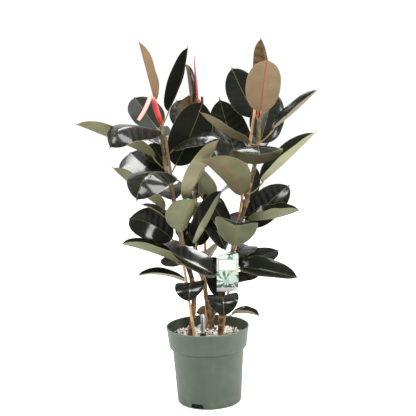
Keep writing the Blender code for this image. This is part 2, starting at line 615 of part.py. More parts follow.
def main():
    clear_scene()
    make_pot()
    make_soil()
    make_top_dressing()
    make_gauge()
    make_canes()
    for side in STEMS:
        leafy_stem(side, material(f"foliage_{side}", (0.035, 0.045, 0.028), 0.35))
    make_tag()
    make_sheaths()


main()
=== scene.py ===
# %% [markdown]
# A rubber-leaved ficus in its nursery pot, dressed for the camera.
#
# The plant is three leafy stems tied up along bamboo canes. Each leaf is a thick oval blade, near-black
# and glossy above, olive or tan and satin below. The solids of the construction are loaded first and stay
# where they are. Every visible surface is then worked out again, finer, from the same sizes: a fine piece
# takes the place of its solid and rides on the same body. Lengths are metres, +Z is up, and -Y is front.

# %% The frame
import math

import bmesh
import bpy
import numpy as np
from mathutils import Matrix


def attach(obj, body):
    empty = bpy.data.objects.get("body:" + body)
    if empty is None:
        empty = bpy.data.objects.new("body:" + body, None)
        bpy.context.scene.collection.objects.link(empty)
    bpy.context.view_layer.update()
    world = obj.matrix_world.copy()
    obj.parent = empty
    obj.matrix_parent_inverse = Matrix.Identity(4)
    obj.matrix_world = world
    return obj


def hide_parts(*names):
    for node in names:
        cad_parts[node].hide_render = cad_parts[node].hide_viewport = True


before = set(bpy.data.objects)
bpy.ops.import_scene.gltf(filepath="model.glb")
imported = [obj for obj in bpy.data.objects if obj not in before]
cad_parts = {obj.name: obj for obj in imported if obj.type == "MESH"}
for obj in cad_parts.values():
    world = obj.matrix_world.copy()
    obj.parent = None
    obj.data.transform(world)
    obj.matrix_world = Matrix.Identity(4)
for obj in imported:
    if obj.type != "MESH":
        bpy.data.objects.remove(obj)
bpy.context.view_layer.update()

MM = 0.001
print("nodes in the frame:", len(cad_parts))

# %% [markdown]
# Surfaces are grids of points. A blade is a grid along and across, a stem is a grid along and around, a
# pot is a grid up its profile and around. These helpers number the faces: the quads of a grid, the quads
# between two closed loops of points, and the triangles that fill a loop round a middle point.

# %% Faces of grids and loops
def unit(vectors):
    """Each vector divided by its own length."""
    return vectors / np.linalg.norm(vectors, axis=-1, keepdims=True)


def turns(count):
    """Angles evenly round: 2 pi k / count."""
    return np.arange(count) * math.tau / count


def grid_quads(rows, columns, around=False):
    """Quads of a grid of points numbered row by row. Around also joins the last column to the first."""
    row, column = np.mgrid[0:rows - 1, 0:columns if around else columns - 1]
    near, far = row * columns + column, row * columns + (column + 1) % columns
    return np.stack([near, far, far + columns, near + columns], -1).reshape(-1, 4)


def strip(first, second):
    """Quads between two closed loops: points k and k + 1 of the first, then k + 1 and k of the second."""
    return np.stack([first, np.roll(first, -1), np.roll(second, -1), second], -1)


def fan(loop, middle):
    """Triangles from each side of a closed loop to a middle point."""
    return np.stack([loop, np.roll(loop, -1), np.full(len(loop), middle)], -1)


def border(rows, columns):
    """The points round the border of a grid, in order."""
    grid = np.arange(rows * columns).reshape(rows, columns)
    return np.concatenate([grid[0, :-1], grid[:-1, -1], grid[-1, :0:-1], grid[:0:-1, 0]])


def sheet_faces(rows, columns):
    """The quads of a thin sheet's one side, then those of its other side and of the rim between them."""
    quads, rim, size = grid_quads(rows, columns), border(rows, columns), rows * columns
    return [quads, np.concatenate([quads[:, ::-1] + size, strip(rim + size, rim)])]


print("a grid of 3 by 4 points has", len(grid_quads(3, 4)), "quads and", len(border(3, 4)), "points round it")

# %% [markdown]
# One class gathers the surfaces of a piece, so a whole stem with its leaves stays one mesh. Each point
# also has something to say to the materials: its place on the blade in metres, as a UV map, and four
# plain numbers, as a colour attribute called tone. Both ride on the mesh, so a mark stays on the surface
# that it belongs to.

# %% Pieces
def tones(first, second=0.0, third=0.0, fourth=1.0):
    """The four numbers of every point, a row each."""
    return np.stack(np.broadcast_arrays(first, second, third, fourth), -1).reshape(-1, 4)


class Piece:
    """Gathers closed surfaces into one mesh object that stands for a CAD node."""

    def __init__(self, name):
        self.name, self.count = name, 0
        self.points, self.faces, self.finish_of, self.places, self.tones = [], [], [], [], []

    def add(self, points, faces, finish=0, place=None, tone=(0.0, 0.0, 0.0, 0.0)):
        """One surface: points, blocks of faces, the finish of all blocks or of each, UV places and tones."""
        points = np.asarray(points, float).reshape(-1, 3)
        for block, number in zip(faces, np.broadcast_to(finish, len(faces)).tolist()):
            self.faces += (block + self.count).tolist()
            self.finish_of += [number] * len(block)
        self.points.append(points)
        self.places.append(np.zeros((len(points), 2)) if place is None else place.reshape(-1, 2))
        self.tones.append(np.broadcast_to(tone, (len(points), 4)))
        self.count += len(points)

    def build(self, finishes, node, sharp=40.0, turn_out=False):
        """Make the mesh, shade it smooth with sharp edges kept, and hide the node that it replaces."""
        mesh = bpy.data.meshes.new(self.name)
        mesh.from_pydata(np.concatenate(self.points).tolist(), [], self.faces)
        mesh.polygons.foreach_set("material_index", np.array(self.finish_of, np.int32))
        corner = np.empty(len(mesh.loops), np.int32)
        mesh.loops.foreach_get("vertex_index", corner)
        mesh.uv_layers.new(name="place").data.foreach_set("uv", np.concatenate(self.places)[corner].ravel())
        tone = mesh.attributes.new("tone", "FLOAT_COLOR", "POINT")
        tone.data.foreach_set("color", np.concatenate(self.tones).ravel())
        if turn_out:
            work = bmesh.new()
            work.from_mesh(mesh)
            bmesh.ops.recalc_face_normals(work, faces=work.faces)
            work.to_mesh(mesh)
            work.free()
        mesh.shade_smooth()
        mesh.set_sharp_from_angle(angle=math.radians(sharp))
        made = bpy.data.objects.new(self.name, mesh)
        bpy.context.scene.collection.objects.link(made)
        for finish in finishes:
            mesh.materials.append(finish)
        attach(made, "root")
        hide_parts(node)
        triangles = sum(len(face) - 2 for face in self.faces)
        print(f"{self.name}: {len(mesh.vertices)} points, {triangles} triangles")


print("tones of one point:", tones(0.5)[0])

# %% [markdown]
# Stems, stalks, canes, the tie and the gauge are all one idea: a ring of points carried along a path. The
# ring's plane follows the path, and its radius may change from station to station and round the ring. The
# two ends are closed with a fan to a middle point, because an open tube shows its inside and exports as a
# torn mesh.

# %% A ring carried along a path
PATH_GUIDE = (0.03, 1.0, 0.02)
LOOP_GUIDE = (0.03, 0.02, 1.0)


def tube(path, radii, sides, closed=False):
    """Station i, side k: path_i + radius_ik (cos t_k aside_i - sin t_k across_i), aside square to a guide."""
    path, radii = np.asarray(path, float), np.asarray(radii, float)
    along = unit(np.roll(path, -1, 0) - np.roll(path, 1, 0) if closed else np.gradient(path, axis=0))
    aside = unit(np.cross(along, LOOP_GUIDE if closed else PATH_GUIDE))
    across = np.cross(aside, along)
    turn = turns(sides)[:, None]
    ring = np.cos(turn) * aside[:, None] - np.sin(turn) * across[:, None]
    radii = radii if radii.ndim == 2 else radii[:, None]
    points = (path[:, None] + radii[..., None] * ring).reshape(-1, 3)
    quads = grid_quads(len(path), sides, around=True)
    first, last = np.arange(sides), len(points) - sides + np.arange(sides)
    if closed:
        return points, [quads, strip(last, first)]
    ends = [fan(first[::-1], len(points)), fan(last, len(points) + 1)]
    return np.vstack([points, path[0], path[-1]]), [quads, *ends]


def bent(start, control, end, share):
    """(1 - t)^2 start + 2 t (1 - t) control + t^2 end: a curve pulled towards its control point."""
    return (1 - share) ** 2 * start + 2 * share * (1 - share) * control + share ** 2 * end


def control_through(start, middle, end):
    """The control point that takes the curve through the middle half way: 2 middle - (start + end) / 2."""
    return 2.0 * middle - (start + end) / 2.0


def eased(points, count):
    """A smooth path through points, with t how far along a span: (2t^3 - 3t^2 + 1) p + (t^3 - 2t^2 + t) l m
    + (3t^2 - 2t^3) q + (t^3 - t^2) l n, from p to q with slopes m and n and the span's length l."""
    points = np.asarray(points, float)
    length = np.concatenate([[0.0], np.cumsum(np.linalg.norm(np.diff(points, axis=0), axis=1))])
    slope = np.gradient(points, length, axis=0)
    wanted = np.linspace(0.0, length[-1], count)
    cell = np.clip(np.searchsorted(length, wanted, side="right") - 1, 0, len(points) - 2)
    span = (length[cell + 1] - length[cell])[:, None]
    t = (wanted - length[cell])[:, None] / span
    start = (2 * t ** 3 - 3 * t ** 2 + 1) * points[cell] + (t ** 3 - 2 * t ** 2 + t) * span * slope[cell]
    return start + (3 * t ** 2 - 2 * t ** 3) * points[cell + 1] + (t ** 3 - t ** 2) * span * slope[cell + 1]


upright = np.linspace((0, 0, 0), (0, 0, 1), 5)
print("a tube of 5 stations and 8 sides has", len(tube(upright, np.ones(5), 8)[0]), "points")

# %% [markdown]
# The plan of the plant. A real ficus grows a leaf at every node of its stem, each a turn round from the
# last, on a stalk that lifts it towards the light. The tables say where the stems and canes run, in
# millimetres, as the solids of the construction have it. Straight lines join a stem's points here, and
# its skin is eased later.

# %% Stems and canes
STEM_RADII = {"left": (9.5, 6.0), "middle": (9.0, 4.5), "right": (9.5, 5.5)}
CANE_RADIUS = 0.0046
CANE_FOOT = 0.060

STEMS = {
    "left": [
        (-61, -50, 150), (-56, -50, 228), (-47, -46, 285), (-41, -41, 340), (-46, -36, 412), (-56, -29, 450),
        (-71, -18, 520), (-82, -10, 560), (-95, 5, 655), (-102, 10, 695), (-116, 16, 750), (-122, 20, 800),
        (-126, 22, 850), (-127, 22, 917),
    ],
    "middle": [
        (18, 74, 150), (15, 70, 220), (8, 65, 262), (-1, 61, 320), (-9, 58, 385), (-22, 55, 425),
        (-31, 54, 470), (-34, 52, 520), (-27, 50, 655), (-15, 46, 815), (-6, 45, 975),
    ],
    "right": [
        (38, -50, 150), (40, -50, 220), (45, -50, 300), (52, -48, 365), (69, -46, 425), (90, -45, 515),
        (113, -44, 595), (129, -42, 640), (141, -40, 690), (152, -39, 730), (164, -37, 780), (173, -36, 830),
        (181, -35, 917),
    ],
}
CANES = {
    "left": ((-43, -66, 228), (-116, -4, 865)),
    "middle": ((-3, 85, 229), (4, 76, 988)),
    "right": ((46, -24, 220), (169, -12, 945)),
}


def stem_point(side, height):
    """The centre of a stem at a height in metres."""
    path = np.array(STEMS[side], float) * MM
    return np.array([np.interp(height, path[:, 2], path[:, axis]) for axis in range(3)])


def cane_point(side, height):
    """The centre of a cane at a height in metres: low + (high - low) (height - z_low) / (z_high - z_low)."""
    low, high = (np.array(end, float) * MM for end in CANES[side])
    return low + (high - low) * (height - low[2]) / (high[2] - low[2])


print("stem tops in millimetres:", {side: path[-1] for side, path in STEMS.items()})

# %% [markdown]
# One row a leaf: the height of its node on the stem; where the blade begins, its middle and its tip, all
# from that node; the way its upper side looks; its width; how far each half is raised in degrees. Two
# last numbers are looks: how tan its underside is, from olive at 0 to pink-tan at 1, and how glossy its
# upper side is.

# %% Leaves
LEAVES = {
    "left": [
        (905, (-19, -10, 73), (-40, -20, 164), (-64, -10, 264), (1, 0.1, 0.2), 100, 35, 1, 0.4),
        (900, (21, 0, 45), (65, 5, 138), (91, 10, 250), (-1, -1, 0.1), 84, 42, 0.3, 0),
        (885, (-15, 10, 5), (-55, 60, 55), (-95, 115, 110), (0, -1, 1), 110, 12, 0.2, 0.02),
        (875, (-5, -17, 7), (-114, -82, 24), (-156, -127, -39), (-0.15, -0.75, 1), 126, -18, 0.4, 0.62),
        (760, (-35, -10, 40), (-160, -15, 100), (-285, -25, 155), (0.35, 0.3, 1), 100, 45, 0.3, 0.5),
        (765, (-10, 25, 15), (-30, 75, 45), (-55, 125, 75), (0, -1, 1), 95, 12, 0.2, 0.2),
        (710, (-36, 5, 23), (-91, 65, 63), (-138, 135, 101), (0, -1, 1), 158, 8, 0.4, 0.75),
        (625, (-35, -15, 10), (-115, -35, 75), (-195, -45, 155), (0.5, 0.6, 0.6), 90, 30, 0.2, 0.5),
        (585, (-25, 5, 5), (-65, 15, 40), (-120, 25, 65), (0, 0, 1), 80, 20, 0.1, 0.5),
        (515, (-35, -5, 26), (-104, 30, 71), (-180, 80, 85), (-0.2, -0.9, 0.5), 110, 8, 0.3, 0.9),
        (455, (-31, -10, 12), (-117, -30, 53), (-210, -40, 83), (0.3, -0.03, 0.95), 100, 42, 0, 0.5),
        (455, (-15, 5, 5), (-50, 40, 5), (-90, 70, 10), (0, -0.6, 1), 65, 10, 0.2, 0.5),
        (395, (-17, 29, -1), (-93, 2, 32), (-175, -23, 37), (0, -0.18, 1), 62, 33, 0.3, 0.5),
        (410, (-6, -25, -6), (-5, -75, -4), (-10, -105, -51), (-0.2, -0.55, 1), 97, 6, 0.4, 0.9),
        (740, (26, -2, 33), (80, 2, 137), (120, 5, 235), (0.1, -1, 0.2), 128, 8, 0.4, 0.05),
        (800, (29, -15, 27), (109, -50, 62), (187, -85, 49), (0, -0.6, 1), 84, -8, 0.3, 0.8),
        (470, (-13, -38, 97), (3, -66, 152), (32, -94, 211), (-0.5, 0.75, -0.15), 128, 36, 0.05, 0.4),
        (515, (-17, 33, 29), (0, 64, 73), (17, 94, 121), (0, -0.8, 0.6), 40, 12, 0, 0.4),
        (645, (36, -78, 20), (90, -118, 120), (146, -122, 215), (-0.6, 0.6, 0.5), 92, 32, 0.27, 0.5),
        (830, (-10, 25, 10), (-30, 100, 45), (-45, 165, 55), (0, -0.6, 1), 100, 12, 0.2, 0.5),
        (650, (0, 25, 10), (-20, 85, 35), (-45, 130, 30), (0, -0.6, 1), 90, 12, 0.2, 0.5),
        (480, (-18, 22, 5), (-60, 75, 20), (-85, 130, 20), (0, -0.6, 1), 85, 12, 0.2, 0.5),
    ],
    "middle": [
        (880, (-5, 5, 15), (-25, 15, 70), (-30, 25, 115), (0, 1, 0.3), 85, 10, 0.6, 0.4),
        (870, (-15, 10, 15), (-45, 45, 60), (-70, 85, 110), (-0.2, -1, 0.6), 95, 10, 0.2, 0.25),
        (970, (-26, 5, -5), (-32, 3, 65), (-40, 0, 125), (1, -0.35, 0.1), 60, 40, 0.8, 0.3),
        (610, (49, -23, 33), (28, -21, 92), (-22, -7, 160), (0.5, 0.6, 0.5), 105, 12, 0.1, 0.4),
        (250, (23, 39, 15), (-12, 44, 20), (-50, 40, 14), (0, 0.85, 0.55), 50, 6, 0.6, 0.5),
        (715, (-75, -96, 35), (-144, -180, 40), (-178, -238, -34), (-0.2, -0.75, 1), 146, -12, 0.4, 0.68),
        (490, (-1, -41, 29), (47, -75, 108), (93, -101, 210), (-0.8, -0.37, 0.47), 112, 47, 0, 0.2),
        (685, (32, -11, -7), (66, -29, -65), (99, -45, -132), (0.5, -0.9, 0.8), 82, 8, 0.3, 0.6),
        (620, (15, -25, -5), (59, -49, -49), (96, -75, -128), (0.5, -0.9, 0.6), 78, 8, 0.3, 0.5),
        (490, (-5, -20, 15), (-20, -5, 50), (-35, 25, 95), (0, -1, 0.6), 65, 8, 0.3, 0.5),
        (450, (20, -10, 0), (45, -5, 30), (70, 0, 60), (-0.6, 0.6, 0.5), 50, 12, 0.1, 0.4),
        (470, (50, -35, 0), (65, -60, -55), (70, -70, -135), (0.1, -1, 0.2), 75, 8, 0.3, 0.3),
        (870, (-25, 20, 10), (-40, 90, 45), (-40, 155, 55), (0, -0.6, 1), 90, 12, 0.2, 0.5),
        (800, (-10, 20, 15), (-45, 90, 50), (-80, 150, 60), (0, -0.6, 1), 105, 12, 0.2, 0.5),
        (760, (45, 15, 15), (85, 85, 50), (110, 145, 55), (0, -0.6, 1), 100, 12, 0.2, 0.5),
        (640, (-5, 25, 12), (-15, 95, 50), (-25, 155, 60), (0, -0.6, 1), 95, 12, 0.2, 0.5),
        (600, (-5, 25, 5), (5, 95, 30), (15, 165, 25), (0, -0.6, 1), 95, 12, 0.2, 0.5),
        (500, (8, -11, 7), (37, -15, 60), (66, -17, 119), (-0.5, -1, 0.3), 52, 8, 0.3, 0.1),
        (430, (-5, 25, 5), (-15, 85, 25), (-30, 140, 15), (0, -0.6, 1), 85, 12, 0.2, 0.5),
    ],
    "right": [
        (905, (-5, 35, 15), (-45, 62, 90), (-80, 90, 175), (-0.2, -1, 0.4), 105, 8, 0.2, 0.1),
        (915, (3, -20, 18), (11, -50, 105), (22, -80, 179), (0, 1, 0.45), 108, 8, 0.9, 0.4),
        (910, (17, 15, 36), (28, 20, 147), (9, 25, 258), (-1, -1, 0), 92, 42, 1, 0.9),
        (835, (-25, -10, 5), (-106, -35, 39), (-181, -50, 110), (0.4, 0.4, 0.8), 66, 30, 0.35, 0.5),
        (640, (-13, -28, 39), (-54, -102, 126), (-140, -150, 161), (0.4, 0.8, 0.6), 118, 15, 0.33, 0.5),
        (680, (44, -10, 37), (118, -35, 101), (214, -50, 194), (-0.52, -0.28, 0.8), 102, 50, 0.15, 0.5),
        (840, (46, -5, 41), (113, -15, 92), (189, -25, 162), (-0.62, -0.32, 0.71), 68, 41, 0.5, 0.6),
        (830, (11, 35, 8), (37, 75, 87), (67, 110, 172), (0.4, -1, 0.4), 118, 8, 0.3, 0.8),
        (745, (-39, 25, 9), (-66, 85, 114), (-97, 110, 240), (0.25, -1, 0.35), 138, 8, 0.3, 0.9),
        (435, (-40, -14, -6), (-111, -54, 36), (-184, -69, 85), (0.29, -0.63, 0.72), 100, 29, 0.3, 1),
        (770, (5, -15, 4), (3, -100, 65), (6, -180, 40), (0, -0.12, 1), 158, -6, 0.15, 0.6),
        (565, (33, 15, 11), (99, 45, 76), (176, 85, 132), (0.1, -0.9, 0.6), 103, 8, 0.3, 0.9),
        (600, (20, -20, 0), (101, -40, 7), (184, -55, 33), (-0.12, -0.1, 0.98), 108, 48, 0.1, 0.6),
        (585, (10, 40, 4), (-8, 100, 7), (-32, 144, 10), (0, -1, 0.6), 60, 8, 0.2, 0.2),
        (495, (5, -15, 23), (11, -80, 103), (8, -135, 103), (0.2, 0.25, 1), 134, 10, 0, 0.5),
        (710, (-32, 8, 5), (-62, 85, -12), (-95, 140, -45), (-0.3, -0.5, 0.8), 80, 12, 0.2, 0.5),
        (445, (32, 8, 5), (95, 60, 20), (170, 105, 35), (0, -0.6, 1), 90, 8, 0.3, 0.15),
        (440, (35, -12, 10), (103, -35, 3), (222, -50, -23), (0, -0.7, 1), 92, 25, 0.3, 0.5),
        (395, (10, 0, 5), (55, 5, 20), (110, 5, 20), (0, -0.5, 1), 55, 8, 0.3, 0.4),
        (355, (-7, -10, 0), (-1, -65, 6), (1, -95, -46), (0.05, -0.8, 1), 102, 13, 0.2, 0.95),
        (290, (35, -5, 10), (78, -20, 14), (122, -30, 4), (0, 0.02, 1), 66, 32, 0.2, 0.8),
        (645, (13, 28, 6), (25, 55, 54), (44, 85, 112), (0, -1, 0.3), 50, 8, 0.3, 0.2),
        (800, (8, 30, 10), (5, 100, 50), (-10, 165, 65), (0, -0.6, 1), 95, 12, 0.2, 0.5),
        (600, (15, 25, 5), (60, 95, 30), (95, 155, 30), (0, -0.6, 1), 100, 12, 0.2, 0.5),
        (470, (28, 22, 5), (50, 90, 25), (75, 150, 15), (0, -0.6, 1), 85, 12, 0.2, 0.5),
    ],
}
print("leaves:", {side: len(rows) for side, rows in LEAVES.items()})

# %% [markdown]
# Materials are sums and products of masks and noises. Blender writes such maths as nodes, which are slow
# to read. Here a small class wraps an output socket and turns Python's own signs into Math nodes. Then
# 1 - mask * 0.3 is two nodes in one line.

# %% Numbers that change over a surface
class Wire:
    """An output socket that can be added, multiplied and compared."""

    def __init__(self, nodes, socket):
        self.nodes, self.socket = nodes, socket

    def maths(self, operation, *values):
        return self.nodes.node("Math", {"operation": operation}, dict(enumerate(values)))["Value"]

    def __add__(self, other):
        return self.maths("ADD", self, other)

    def __mul__(self, other):
        return self.maths("MULTIPLY", self, other)

    def __sub__(self, other):
        return self.maths("SUBTRACT", self, other)

    def __rsub__(self, other):
        return self.maths("SUBTRACT", other, self)

    def __pow__(self, other):
        return self.maths("POWER", self, other)

    def __abs__(self):
        return self.maths("ABSOLUTE", self)

    def __gt__(self, other):
        return self.maths("GREATER_THAN", self, other)

    def __lt__(self, other):
        return self.maths("LESS_THAN", self, other)

    __radd__, __rmul__ = __add__, __mul__

    def cosine(self):
        return self.maths("COSINE", self)

    def step(self, low, high):
        """0 below low, 1 above high, and a smooth rise between."""
        settings = {"interpolation_type": "SMOOTHSTEP", "clamp": True}
        values = {"Value": self, "From Min": low, "From Max": high}
        return self.nodes.node("MapRange", settings, values)["Result"]


def seen(red, green, blue):
    """A colour as a screen shows it, from 0 to 255, as the light that a surface sends back."""
    share = np.array((red, green, blue)) / 255.0
    return tuple(np.where(share <= 0.04045, share / 12.92, ((share + 0.055) / 1.055) ** 2.4).tolist())


print("a screen's middle grey sends back", round(seen(128, 128, 128)[0], 3))

# %% [markdown]
# Every other kind of node comes from one method of the finish that is being made. It takes a node's kind,
# its settings, which come first because they change its sockets, and then the values or wires of those
# sockets. Numbers that are the same all over are set on the shader itself. Materials and the world are
# both made this way.

# %% Nodes from one method
class Nodes:
    """The nodes of a material or a world, and the shader that they feed."""

    def __init__(self, holder, shader, **constants):
        holder.use_nodes = True
        self.tree = holder.node_tree
        self.shader = self.tree.nodes[shader]
        self.set(**constants)

    def node(self, kind, settings=None, sockets=None):
        """One node: its settings first, then its sockets. Gives its outputs by name."""
        made = self.tree.nodes.new("ShaderNode" + kind)
        for name, value in (settings or {}).items():
            if name == "stops":
                self.stops(made.color_ramp, value)
            else:
                setattr(made, name, value)
        for key, value in (sockets or {}).items():
            self.feed(made.inputs[key], value)
        return {socket.name: Wire(self, socket) for socket in made.outputs if socket.enabled}

    def stops(self, ramp, stops):
        """Sets a ramp's stops as (place, colour)."""
        while len(ramp.elements) < len(stops):
            ramp.elements.new(0.5)
        for element, (place, colour) in zip(ramp.elements, stops):
            element.position, element.color = place, (*colour, 1.0)

    def feed(self, socket, value):
        if isinstance(value, Wire):
            self.tree.links.new(value.socket, socket)
        else:
            socket.default_value = (*value, 1.0) if socket.type == "RGBA" else value

    def set(self, **sockets):
        """Feeds the shader: Base_Color=..., Roughness=..., with spaces written as underlines."""
        for name, value in sockets.items():
            self.feed(self.shader.inputs[name.replace("_", " ")], value)

    def axes(self, vector):
        """A vector's three numbers."""
        return tuple(self.node("SeparateXYZ", {}, {"Vector": vector}).values())


print("methods for nodes:", [name for name in vars(Nodes) if name[0] != "_"])

# %% [markdown]
# A finish adds what a surface needs to that: where a point is, what its piece says about it, noises,
# mixtures and dents. Noise is read in Object coordinates, so it keeps its size in metres on every piece.
# A stretch makes long fibres out of round grains.

# %% Finishes
class Finish(Nodes):
    """A material under construction."""

    def __init__(self, name, **constants):
        self.material = bpy.data.materials.new(name)
        super().__init__(self.material, "Principled BSDF", **constants)

    def place(self):
        """The place on the piece from its UV map, across and up."""
        return self.axes(self.node("UVMap", {"uv_map": "place"})["UV"])[:2]

    def tone(self):
        """The four numbers that every point of a piece carries."""
        read = self.node("Attribute", {"attribute_name": "tone"})
        return *self.node("SeparateColor", {}, {"Color": read["Color"]}).values(), read["Alpha"]

    def coordinates(self, stretch=(1.0, 1.0, 1.0)):
        """The point on the object in metres, times a number for each axis."""
        values = {"Vector": self.node("TexCoord")["Object"], "Scale": stretch}
        return self.node("Mapping", {}, values)["Vector"]

    def noise(self, scale, detail=3.0, roughness=0.5, stretch=(1.0, 1.0, 1.0)):
        """Soft noise round 0.5."""
        values = {"Scale": scale, "Detail": detail, "Roughness": roughness}
        return self.node("TexNoise", {}, {"Vector": self.coordinates(stretch), **values})["Fac"]

    def mix(self, factor, first, second):
        """The first colour at factor 0 and the second at 1."""
        return self.node("Mix", {"data_type": "RGBA"}, {0: factor, 6: first, 7: second})["Result"]

    def ramp(self, factor, *stops):
        """A colour read from stops of (place, red, green, blue), the colour as a screen shows it."""
        stops = [(place, seen(*colour)) for place, *colour in stops]
        return self.node("ValToRGB", {"stops": stops}, {"Fac": factor})["Color"]

    def bump(self, height, depth, strength=1.0):
        """Dents the surface by a height from 0 to 1, as deep as depth in metres."""
        dents = self.node("Bump", {}, {"Height": height, "Distance": depth, "Strength": strength})
        self.set(Normal=dents["Normal"])


print("methods for finishes:", [name for name in vars(Finish) if name[0] != "_"])

# %% [markdown]
# The pot is injection-moulded polypropylene: grey-green, satin, with a faint grain from the mould. A pot
# in use has dust in the grain and is rubbed a little paler along its rim, where hands touch it. The
# corner under its band is painted dark, a painted shade line where the band's step casts its shadow. All
# are told by height and noise in Object coordinates, so they stay put when it is exported.

# %% Finish of the pot
POT_HEIGHT = 0.250
BAND_BOTTOM = 0.181


def pot_finish():
    finish = Finish("pot_plastic", IOR=1.45)
    height = finish.axes(finish.coordinates())[2]
    cloud, grain = finish.noise(22.0, 4.0), finish.noise(900.0, 2.0)
    streak = finish.noise(1.0, 3.0, stretch=(60.0, 60.0, 5.0))
    rubbed = height.step(POT_HEIGHT - 0.004, POT_HEIGHT - 0.0005)
    # Painted shade: a dark line just under the band's step, where its shadow falls, mixed into the colour.
    corner = 1.0 - abs(height - BAND_BOTTOM + 0.0035).step(0.0, 0.0035)
    dust = (1.0 - height.step(0.0, 0.05)) * cloud.step(0.45, 0.7)
    body = finish.ramp(cloud * 0.6 + streak * 0.4, (0.3, 53, 65, 52), (0.7, 67, 79, 65))
    worn = finish.mix(rubbed * 0.35, body, seen(150, 158, 144))
    dusty = finish.mix(dust * 0.25, worn, seen(140, 132, 115))
    finish.set(Base_Color=finish.mix(corner * 0.95, dusty, seen(30, 38, 31)))
    finish.set(Roughness=0.42 + streak * 0.12 + grain * 0.08)
    finish.bump(grain * 0.7 + cloud * 0.3, 0.0003, 0.35)
    return finish.material


pot_plastic = pot_finish()
print("finish:", pot_plastic.name)

# %% [markdown]
# The pot itself is a cup turned on its axis. The profile runs from the middle of the underside out, up
# the tapered body, over the band's chamfer, round the rolled rim and down the inside to the middle of the
# floor. Its corners are rounded by short curves, because a moulded edge always catches a line of light.

# %% Profile of the pot
RIM_RADIUS = 0.135
RIM_WIDTH = 0.0045
RIM_DEPTH = 0.006
BAND_RADIUS = 0.1265
BODY_TOP = BAND_BOTTOM - 0.003
BODY_TOP_RADIUS = 0.1165
BASE_RADIUS = 0.104
WALL = 0.0027
FLOOR = 0.003
CORNER_REACH = 0.0022
SLOT_BOTTOM = 0.004
SLOT_TOP = 0.018
SLOT_ROWS = 4


def rounded(profile, reach, steps=4):
    """A profile with each inner corner replaced by a curve that starts and ends reach from it."""
    profile = np.array(profile)
    share = np.linspace(0.0, 1.0, steps)[:, None]
    parts = [profile[:1]]
    for before, corner, after in zip(profile[:-2], profile[1:-1], profile[2:]):
        back, forth = before - corner, after - corner
        near = min(reach, 0.45 * np.linalg.norm(back), 0.45 * np.linalg.norm(forth))
        parts.append(bent(corner + unit(back) * near, corner, corner + unit(forth) * near, share))
    return np.vstack([*parts, profile[-1:]])


def wall_radius(height, inner=0.0):
    """The tapered body's radius at a height, less the wall for its inside."""
    share = (height - SLOT_BOTTOM) / (BODY_TOP - SLOT_BOTTOM)
    return BASE_RADIUS + (BODY_TOP_RADIUS - BASE_RADIUS) * share - inner


def pot_profile():
    """Rows of (radius, height) from under the floor round to its top, and the rows that bound the slots."""
    slot_heights = np.linspace(SLOT_BOTTOM, SLOT_TOP, SLOT_ROWS + 1)
    foot = [
        (0.012, 0.0), (0.055, 0.0), (0.0875, 0.0), (BASE_RADIUS - 0.004, 0.0), (BASE_RADIUS - 0.0012, 0.0012),
    ]
    outside = [(wall_radius(height), height) for height in (*slot_heights, 0.03, 0.06, 0.09, 0.12, 0.15)]
    upper = rounded([
        (wall_radius(0.165), 0.165), (BODY_TOP_RADIUS, BODY_TOP), (BAND_RADIUS - 0.003, BAND_BOTTOM),
        (BAND_RADIUS, BAND_BOTTOM + 0.003), (RIM_RADIUS - 0.0018, POT_HEIGHT - 0.0085),
        (RIM_RADIUS, POT_HEIGHT - RIM_DEPTH), (RIM_RADIUS, POT_HEIGHT), (RIM_RADIUS - RIM_WIDTH, POT_HEIGHT),
        (RIM_RADIUS - RIM_WIDTH, POT_HEIGHT - RIM_DEPTH), (BAND_RADIUS - WALL, BAND_BOTTOM + 0.004),
        (BODY_TOP_RADIUS - WALL, BAND_BOTTOM - 0.001), (wall_radius(0.165, WALL), 0.165),
    ], CORNER_REACH)
    inside = [(wall_radius(height, WALL), height) for height in (0.12, 0.06, *slot_heights[::-1])]
    floor = [(BASE_RADIUS - WALL, FLOOR), (0.05, FLOOR), (0.01, FLOOR)]
    rows = np.array([*foot, *outside, *upper, *inside, *floor])
    return rows, len(foot), len(rows) - len(floor) - 1


print("rows in the pot's profile:", len(pot_profile()[0]))

# %% [markdown]
# Drain slots are cut at the foot. Instead of a Boolean, the grid's columns are pushed together so that
# they run along each slot's slanting sides. The quads inside a slot are then left out of both walls, and
# the two openings are joined by the slot's own thickness.

# %% Pot
SLOTS = 3
SLOT_ANGLE = math.radians(-113.0)
SLOT_WIDTH = 0.045
SLOT_TOP_SHARE = 0.8
COLUMNS_PER_SLOT = 64
SLOT_COLUMNS = 6
POT_COLUMNS = SLOTS * COLUMNS_PER_SLOT


def column_angles(heights):
    """Angle of each column at each height, and how many columns it lies from the middle of its slot."""
    column, half_period = np.arange(POT_COLUMNS), COLUMNS_PER_SLOT // 2
    steps = (column + half_period) % COLUMNS_PER_SLOT - half_period
    number = np.round((column - steps) / COLUMNS_PER_SLOT)
    narrowing = np.clip((heights - SLOT_BOTTOM) / (SLOT_TOP - SLOT_BOTTOM), 0.0, 1.0)
    half = SLOT_WIDTH / 2 / BASE_RADIUS * (1.0 - (1.0 - SLOT_TOP_SHARE) * narrowing)
    beyond = (np.abs(steps) - SLOT_COLUMNS) / (half_period - SLOT_COLUMNS)
    outside = half + beyond * (math.pi / SLOTS - half)
    offset = np.where(beyond <= 0, np.abs(steps) / SLOT_COLUMNS * half, outside)
    return SLOT_ANGLE + number * math.tau / SLOTS + np.sign(steps) * offset, steps


